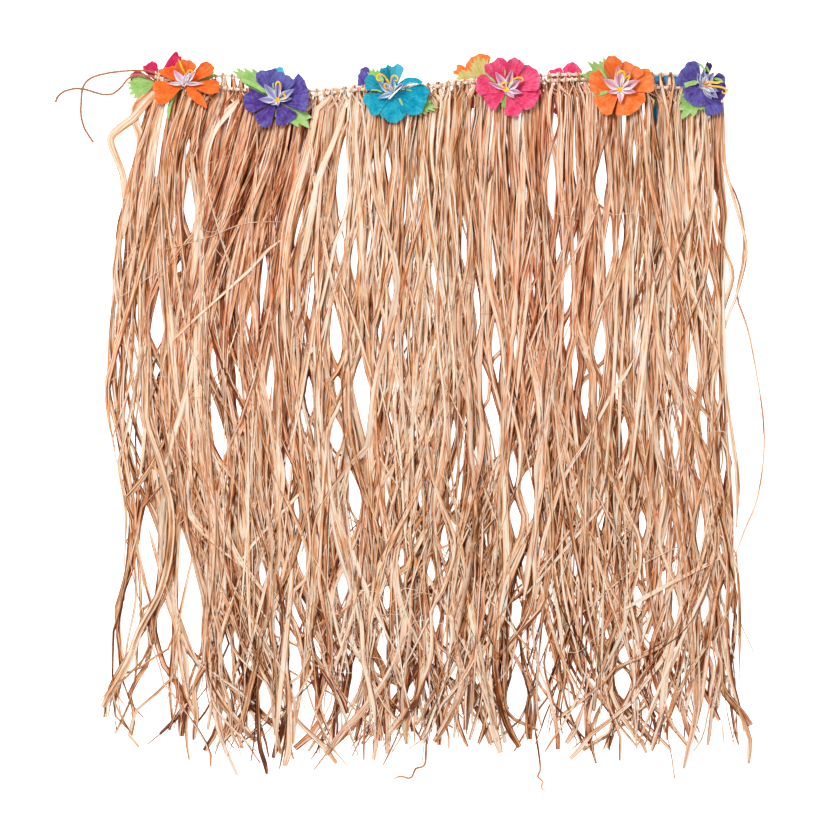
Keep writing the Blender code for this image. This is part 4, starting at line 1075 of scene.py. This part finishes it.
# --- Front flowers -------------------------------------------------------------------------
# Six more stand on the front of the waist: a ring of cloth petals over toothed leaves, a folded
# star of stiff sheer cloth in the middle and curled stamens of yellow felt, all on one stitch.
# Petals as direction, half width, reach, squareness, longer side, rise and paleness; folds of
# petal cloth as width and X, Y, z from the hub; leaves as teeth; leaf strips as width, z and
# X, Y from the hub; star points as direction, half width, reach and rise; white edges of the
# star and stamens as width and X, Y, z from the hub
FRONT_FLOWERS = (
    {"colour": "orange", "hub": (-276.2, 378),
     "petals": ((136, 23, 28, 0.12, 0.22, 9, -0.1), (86, 34, 27, 0.15, -0.05, 16, 0.05),
                (33, 16, 39, 0.2, 0, 14, -0.08), (-7, 16, 41, 0.2, 0.06, 8, -0.12),
                (-47, 25, 40, 0.78, 0.05, 3, -0.12), (201, 28, 37, 0.16, 0, 5, -0.15)),
     "leaves": (((8, 33), (15, 37), (23, 38), (29, 33)),),
     "strips": ((4.0, 20.5, ((-2, -4), (-8, -6), (-12, -12), (-16, -21), (-18, -30),
                             (-18.5, -39))),),
     "star": ((127, 20, 19, 14), (92, 20, 9, 10), (66, 20, 15, 15), (45, 17, 20, 16),
              (179, 9, 19, 7), (1, 8, 23, 7), (-90, 80, 3, 4)),
     "stamens": ((2.2, ((1.9, 5.0, 26), (1, 12, 34), (-1.9, 17.9, 39), (-3.8, 23, 42),
                        (-5.8, 27.1, 44))),
                 (1.8, ((2.6, 6, 27), (3.6, 12.1, 34), (5.8, 14.9, 37), (8.7, 14.7, 38),
                        (10.5, 12.4, 37), (9.6, 8.6, 34))))},
    {"colour": "purple", "hub": (-170, 358.8),
     "petals": ((180, 26, 38, 0.14, 0, 6, 0), (113, 24, 38, 0.12, 0, 12, 0.25),
                (74, 31, 32, 0.1, 0, 15, 0.3), (14, 38, 38, 0.06, 0.08, 12, 0.1),
                (-62, 31, 29, 0.12, 0, 4, 0), (234, 22, 34, 0.14, 0, 4, 0.02)),
     "leaves": (((119, 42), (127, 48), (134.5, 55), (140.5, 61), (146, 63), (150, 50)),
                ((-66, 29.5), (-51, 39), (-40, 49), (-25, 44), (-13.5, 36))),
     "strips": ((1.8, 31, ((-3.6, 13.4), (-4.3, 17), (-4.2, 21.5))),
                (5.0, 31, ((-41, 24), (-30, 19.5), (-20, 14.5), (-11, 9))),
                (3.2, 19.5, ((-2.6, -9), (-1.4, -13), (-0.8, -18.5)))),
     "star": ((128, 18, 24, 14), (84, 17, 21, 17), (33, 17, 24, 13), (176, 17, 21, 10),
              (8, 12, 18, 9), (215, 40, 8, 5), (-80, 50, 6, 4)),
     "stamens": ((4.4, ((-1.5, -1.3, 25), (0.5, 1, 27), (1.9, 3.2, 29))),
                 (1.9, ((1.3, 1.9, 27), (3.2, 7, 32), (4.5, 13.4, 38), (3.8, 18.6, 42), (1.9, 20.7, 43),
                        (-0.6, 18.5, 43), (-1.5, 14.1, 41))),
                 (1.8, ((3.2, 5.8, 31), (6.4, 7.9, 33), (8.9, 6.2, 34), (9.6, 3.2, 34), (7.7, 1.2, 33),
                        (5.8, 1.9, 32))))},
    {"colour": "turquoise", "hub": (-37.3, 367.8),
     "petals": ((107, 16, 31, 0.14, 0, 17, 0), (80, 16, 32, 0.12, -0.03, 19, 0.75),
                (156, 17, 35, 0.14, 0, 13, 0), (208, 28, 35, 0.16, 0, 6, 0),
                (-88, 34, 33, 0.12, 0, 4, 0), (-20, 38, 40.5, 0.28, 0.08, 7, -0.1)),
     "folds": ((6.2, ((3, 3, 28), (10, 9.5, 32), (17, 13.8, 35), (25.5, 13.4, 37), (34, 11, 38))),),
     "leaves": (((-2, 39), (-7, 42), (-13, 46), (-18, 56), (-23, 53), (-27, 47), (-32, 46),
                 (-39, 42)),),
     "strips": ((1.8, 30, ((-26.2, 3.2), (-18.5, 2.9), (-12.1, 0.6))),
                (2.6, 27, ((7.3, -6), (8.9, -9.6), (10.7, -14))),
                (1.8, 28.5, ((15.3, 3.8), (18.5, 3.2), (21.7, 1.9)))),
     "star": ((145, 20, 21, 13), (92, 22, 16, 17), (40, 13, 17, 17), (200, 14, 19, 8),
              (236, 16, 10, 6), (120, 14, 12, 12), (20, 40, 3, 4)),
     "edges": ((1.7, ((-5.5, -7.6, 28), (2, -0.5, 33), (11.5, 7.7, 39))),
               (3.0, ((10, 6.4, 27), (16, 9.4, 30), (24, 9.6, 33)))),
     "stamens": ((2.4, ((1.9, 1.3, 26), (-1.9, 7, 32), (-5.8, 12.8, 38), (-9.6, 17.9, 42))),
                 (1.7, ((-5.8, 12.8, 38), (-9.6, 17.9, 42), (-14.1, 20.4, 43), (-17.9, 18.5, 43),
                        (-18.5, 15.3, 42), (-15.7, 12.9, 41), (-12.9, 15.2, 41))),
                 (1.7, ((-1.9, 8.3, 33), (-2.2, 14.1, 38), (-0.6, 17.9, 41), (2.6, 18.8, 42),
                        (5.5, 16.2, 42), (4.5, 13, 41), (1.7, 13.6, 40))),
                 (1.6, ((-4, 5.4, 31), (-7.7, 4.7, 33), (-9.8, 7, 35), (-8.6, 9.8, 37),
                        (-5.5, 10.2, 37))))},
    {"colour": "pink", "hub": (93.3, 370.8),
     "petals": ((116, 25, 38, 0.14, 0, 13, 0.06), (75, 20, 37, 0.14, -0.05, 16, 0.1),
                (30, 32, 40, 0.16, 0, 12, 0.1), (-20, 30, 37, 0.18, 0.08, 6, 0.03),
                (-71, 25, 31, 0.1, 0, 4, 0), (214, 25, 29, 0.12, 0, 4, 0),
                (168, 23, 37, 0.16, 0, 9, 0.04)),
     "leaves": (((-99, 21), (-108, 20), (-117, 16)), ((-76, 29), (-80, 31), (-84, 29))),
     "strips": ((1.7, 33, ((-2.6, 23.5), (-2.4, 20), (-2.6, 16.6))),
                (2.3, 30, ((-25.6, 19.2), (-19.8, 14.7), (-13.2, 8.7))),
                (2.4, 24.5, ((8.3, -9.5), (11.5, -12), (14.7, -13.8)))),
     "star": ((124, 17, 25, 14), (77, 16, 24, 16), (38, 19, 20.5, 13), (-11, 17, 17.5, 9),
              (158, 9, 24, 8), (-48, 24, 12.5, 6), (-110, 45, 5, 4)),
     "stamens": ((6.0, ((-5, 2.2, 26), (-1.5, 1.4, 27), (2, 0.8, 27))),
                 (1.9, ((1.3, 3.2, 28), (3.2, 7.7, 33), (7, 11.5, 38), (12.1, 13.7, 41),
                        (16.8, 12.6, 42), (17.6, 10.2, 41), (15.3, 8.9, 40))),
                 (2.4, ((-1.9, 2.6, 28), (-6.4, 4.5, 30), (-5.8, 7.7, 33), (-1.9, 8.7, 34),
                        (1.3, 7.7, 34))),
                 (1.6, ((3.2, 7.7, 33), (4.6, 12, 37), (5.8, 15.3, 40))))},
    {"colour": "orange", "hub": (222.6, 371.3),
     "petals": ((162, 29, 37, 0.18, -0.04, 9, 0.02), (108, 21, 39, 0.2, 0, 17, 0.05),
                (63, 30, 33, 0.14, -0.05, 15, 0.12), (20, 26, 40, 0.18, 0, 12, 0.08),
                (-53, 48, 31, 0.12, 0, 4, 0.02), (222, 29, 34, 0.16, 0, 4, 0.03)),
     "leaves": (((108, 38), (117, 43), (125, 42), (133, 47), (138.5, 51), (149, 43), (157.5, 50)),),
     "strips": ((2.6, 31, ((-24.3, 24.9), (-19.5, 18.5), (-15.3, 12.5))),
                (4.2, 27, ((-30.7, -5.8), (-22.4, -4.2), (-13.4, -1.9)))),
     "star": ((149, 21, 24, 12), (97, 20, 27.5, 16), (62.7, 17, 24, 15), (26, 19, 25, 12),
              (-10, 18, 18.5, 9), (-88, 22, 16, 6), (193, 22, 14.5, 7), (-50, 22, 8, 5)),
     "stamens": ((5.2, ((-2.8, 1.2, 26), (0, 0.8, 27), (3, 0.8, 27))),
                 (2.2, ((1.3, 2.6, 28), (3.5, 8.9, 34), (4.7, 15.3, 39), (3.2, 19.6, 42),
                        (-0.6, 20.3, 43), (-3.8, 17.8, 42), (-3.5, 14.3, 41))),
                 (1.9, ((3.8, 9.6, 34), (7, 14.1, 38), (9.8, 15.3, 40), (9.6, 12.5, 39),
                        (7, 10.5, 38))))},
    {"colour": "purple", "hub": (317, 374.8),
     "petals": ((140, 40, 32, 0.16, 0, 13, 0.2), (231, 49, 24, 0.14, 0, 5, 0.2),
                (-62, 22, 36, 0.16, 0, 5, 0.15), (-4, 46, 27, 0.16, 0, 12, 0),
                (75, 9, 28, 0.2, 0, 17, -0.2)),
     "leaves": (((199, 28), (211, 32), (223.5, 38), (236.5, 45), (253.5, 36), (266, 27), (276, 30)),),
     "strips": ((5.4, 29, ((-23, 0.8), (-15.3, 3.4), (-5.8, 5.4))),
                (2.8, 39, ((-6, 26.2), (-1.3, 22.4), (2.6, 16.6))),
                (2.4, 38, ((2.6, 23.4), (5, 19.5), (7, 15.3))),
                (3.0, 37, ((12.1, 8.6), (17.9, 7.7), (23, 4.5)))),
     "star": ((114, 22, 17, 14), (90, 22, 19, 17), (52, 24, 20, 18), (72, 22, 15, 16),
              (-40, 20, 22, 17), (-58, 18, 18, 13), (-20, 22, 18, 17), (170, 60, 4, 4)),
     "stamens": ((2.6, ((0, 3.2, 30), (5.1, 4.7, 38), (10.2, 4.1, 42), (15.3, 3.4, 44),
                        (20.7, 4.9, 45))),
                 (2.1, ((0.6, 0, 30), (6.4, 0.6, 38), (12.8, -0.6, 43), (19.2, -1.5, 45),
                        (23.6, -3.2, 46), (25.8, -6.1, 46), (24.3, -8.7, 46), (21.5, -8.3, 46),
                        (21.1, -5.8, 46))))},
)
LEAF_Z = 19.3                       # on the stitches and the front cord
PETAL_Z = 20.6
STAR_Z = 23.2


def felt(name):
    """Yellow craft felt, fuzzy and dull, browner where the strips are stitched together."""
    material, tree, shader, cloth, dye = new_material(name, "cloth", "dye")
    fuzz = grain(tree, cloth, (1.1, 1.1, 1.1), 4.0)
    tone = total(tree, add(tree, "SeparateXYZ", {0: dye}, "Y"), (fuzz, 0.35))
    yellows = ((0.12, "#C9760A"), (0.34, "#F5A912"), (1.0, "#FBC53C"))
    plug(tree, shader, {
        "Base Color": add(tree, "ValToRGB", {"Fac": tone}, stops=yellows),
        "Normal": add(tree, "Bump", {"Height": fuzz, "Strength": 0.6, "Distance": 0.0004}),
        "Roughness": 0.95, "Specular IOR Level": 0.1})
    return material


def star_cloth(name, edge, face, fold):
    """Stiff sheer cloth folded down each point: white along the cut edges, and darker and more tinted
    down the middle of each point where it folds, which is painted shade.
    """
    material, tree, shader, cloth, dye = new_material(name, "cloth", "dye")
    mottle = grain(tree, cloth, (0.5, 0.5, 0.5), 3.0)
    tone = total(tree, add(tree, "SeparateXYZ", {0: dye}, "Z"), (mottle, 0.3))
    # painted shade: the fold colour down the middle of each point
    tints = ((0.12, fold), (0.6, face), (1.0, edge))
    plug(tree, shader, {"Base Color": add(tree, "ValToRGB", {"Fac": tone}, stops=tints),
                        "Roughness": 0.6, "Specular IOR Level": 0.3})
    return material


def flat_strip(hub, width, route, number, thick=0.4, shine=0.5):
    """A narrow strip of cloth along a route, about half as wide at its ends."""
    line, gone = smooth_path([(hub[0] + x, hub[1] + y, z) for x, y, z in route], 0.8)
    share = gone / gone[-1]
    crease = np.zeros((1, len(line), 5))
    crease[..., 1:4] = 0.25
    rings, across = ribbons(line[None], width * (0.45 + 0.55 * fades(share, 0.15, 0.2))[None],
                            np.zeros((1, len(line))), crease, thick=thick)
    fibre = np.stack([gone[None, :, None] + 0 * across, across, number + 0 * across], -1)
    dye = np.stack([0 * across, share[None, :, None] + 0 * across, shine + 0 * across], -1)
    return rings, {"cloth": fibre, "dye": dye}


felt_yellow = felt("craft_felt_yellow")
# each tint is edge, face and fold; the fold colour is painted shade
star_tints = {
    "orange": star_cloth("sheer_cloth_pinkish", "#FFF8FA", "#F0CDD4", "#D2A0AC"),
    "pink": star_cloth("sheer_cloth_lilac", "#FFF8FC", "#E6C2D4", "#CC9CB8"),
    "purple": star_cloth("sheer_cloth_violet", "#F6F6FD", "#BFBEDA", "#A09FC6"),
    "turquoise": star_cloth("sheer_cloth_blue", "#FCFEFF", "#BAD0E4", "#8BAED2"),
    "palest": star_cloth("sheer_cloth_white", "#FFFFFF", "#F3E2EC", "#E0C0D0"),
}
for number, flower in enumerate(FRONT_FLOWERS, 1):
    rng = np.random.default_rng(80 + number)
    colour = flower["colour"]
    hub = flower["hub"]

    points = 29
    t = np.linspace(0, 1, 16)[:, None]
    s = np.linspace(-1, 1, points)
    lobes = []
    for k, (direction, half, reach, square, longer, rise, pale) in enumerate(flower["petals"]):
        rim = petal_rim(rng, reach, square, longer, points)
        ripple = (1.1 * np.sin(2.6 * s + rng.uniform(0, 6)) * t**1.6
                  + 0.25 * np.sin(8 * s + rng.uniform(0, 6)) * t**2)
        groove = np.exp(-((s - rng.uniform(-0.2, 0.2)) / 0.1) ** 2) * np.sin(math.pi * t) ** 0.7
        height = PETAL_Z + 0.9 * (k % 2) + 0.2 * k + rise * t**1.35
        height = np.maximum(height + ripple - 0.5 * groove + 0.8 * s**2 * t, LEAF_Z + 0.1)
        lobes.append(cloth_lobe(hub, direction, half, rim, height, 2.5, pale, k))
    strips = [flat_strip(hub, width, route, 20 + k)
              for k, (width, route) in enumerate(flower.get("folds", ()))]
    cloth_piece("front", number, "petals", lobes, petal_cloth[colour], strips)

    points = 49
    t = np.linspace(0, 1, 7)[:, None]
    s = np.linspace(-1, 1, points)
    lobes = []
    for k, teeth in enumerate(flower["leaves"]):
        direction, half, rim = toothed_rim(teeth, points, 0.9)
        height = LEAF_Z + 0.25 * k + 1.0 * np.abs(s) * t + 0.5 * np.sin(6 * s) * t**2 + 3.5 * t**2
        lobes.append(cloth_lobe(hub, direction, half, rim, height, 3.5, 0.0, 9 + k))
    strips = [flat_strip(hub, width, [(x, y, z - 0.5) for x, y in route], 20 + k)
              for k, (width, z, route) in enumerate(flower["strips"])]
    cloth_piece("front", number, "leaves", lobes, leaf_cloth, strips)

    t = np.linspace(0, 1, 11)[:, None]
    s = np.linspace(-1, 1, 17)
    lobes = []
    for k, (direction, half, reach, rise) in enumerate(flower["star"]):
        rim = reach * (1 - 0.6 * np.abs(s) ** 0.7)
        fold = 0.07 * reach * (np.abs(s) - 0.3) * np.sin(math.pi * np.minimum(t * 1.1, 1)) ** 0.6
        height = STAR_Z + 0.15 * k + rise * t**1.1 + fold
        lobes.append(cloth_lobe(hub, direction, 1.45 * half, rim, height, 1.0, 0.0, k))
    strips = [flat_strip(hub, width, route, 30 + k, shine=1.0)
              for k, (width, route) in enumerate(flower.get("edges", ()))]
    tint = star_tints["palest" if number == 1 else colour]      # the first star is barely tinted
    cloth_piece("front", number, "star", lobes, tint, strips)

    strips = [flat_strip(hub, width, route, k, thick=0.7)
              for k, (width, route) in enumerate(flower["stamens"])]
    cloth_piece("front", number, "stamens", [], felt_yellow, strips)

# --- Table and light -----------------------------------------------------------------------
# A plain white table, a broad soft light overhead to the left and an even pale surround.
HALF_TABLE = 4.0
TABLE_Z = -0.0004                   # just under everything that lies on it
SURROUND = 0.5
LAMPS = (                           # name, place and size in metres, watts
    ("key", (-0.9, 1.15, 2.6), 0.8, 68.0),
    ("fill", (1.6, -0.9, 2.0), 1.8, 12.0),
)

floor_mesh = bpy.data.meshes.new("table")
corners = [(x * HALF_TABLE, y * HALF_TABLE, TABLE_Z) for x, y in ((-1, -1), (1, -1), (1, 1), (-1, 1))]
floor_mesh.from_pydata(corners, [], [(0, 1, 2, 3)])
floor = bpy.data.objects.new("table", floor_mesh)
bpy.context.scene.collection.objects.link(floor)
material, tree, shader = new_material("matt_white_paper")
plug(tree, shader, {"Base Color": linear("#F6F5F3"), "Roughness": 0.9, "Specular IOR Level": 0.1,
                    "Emission Color": linear("#FFFFFF"), "Emission Strength": 0.95})
floor.data.materials.append(material)

world = bpy.data.worlds.new("surround")
world.use_nodes = True
plug(world.node_tree, world.node_tree.nodes["Background"],
     {"Color": linear("#FFFFFF"), "Strength": SURROUND})
bpy.context.scene.world = world
for name, place, size, watts in LAMPS:
    lamp = bpy.data.lights.new(name, "AREA")
    lamp.size = size
    lamp.energy = watts
    light = bpy.data.objects.new(name, lamp)
    light.location = place
    aim = -np.array(place)
    light.rotation_euler = (math.atan2(math.hypot(aim[0], aim[1]), -aim[2]), 0,
                            math.atan2(aim[0], -aim[1]) + math.pi)
    bpy.context.scene.collection.objects.link(light)
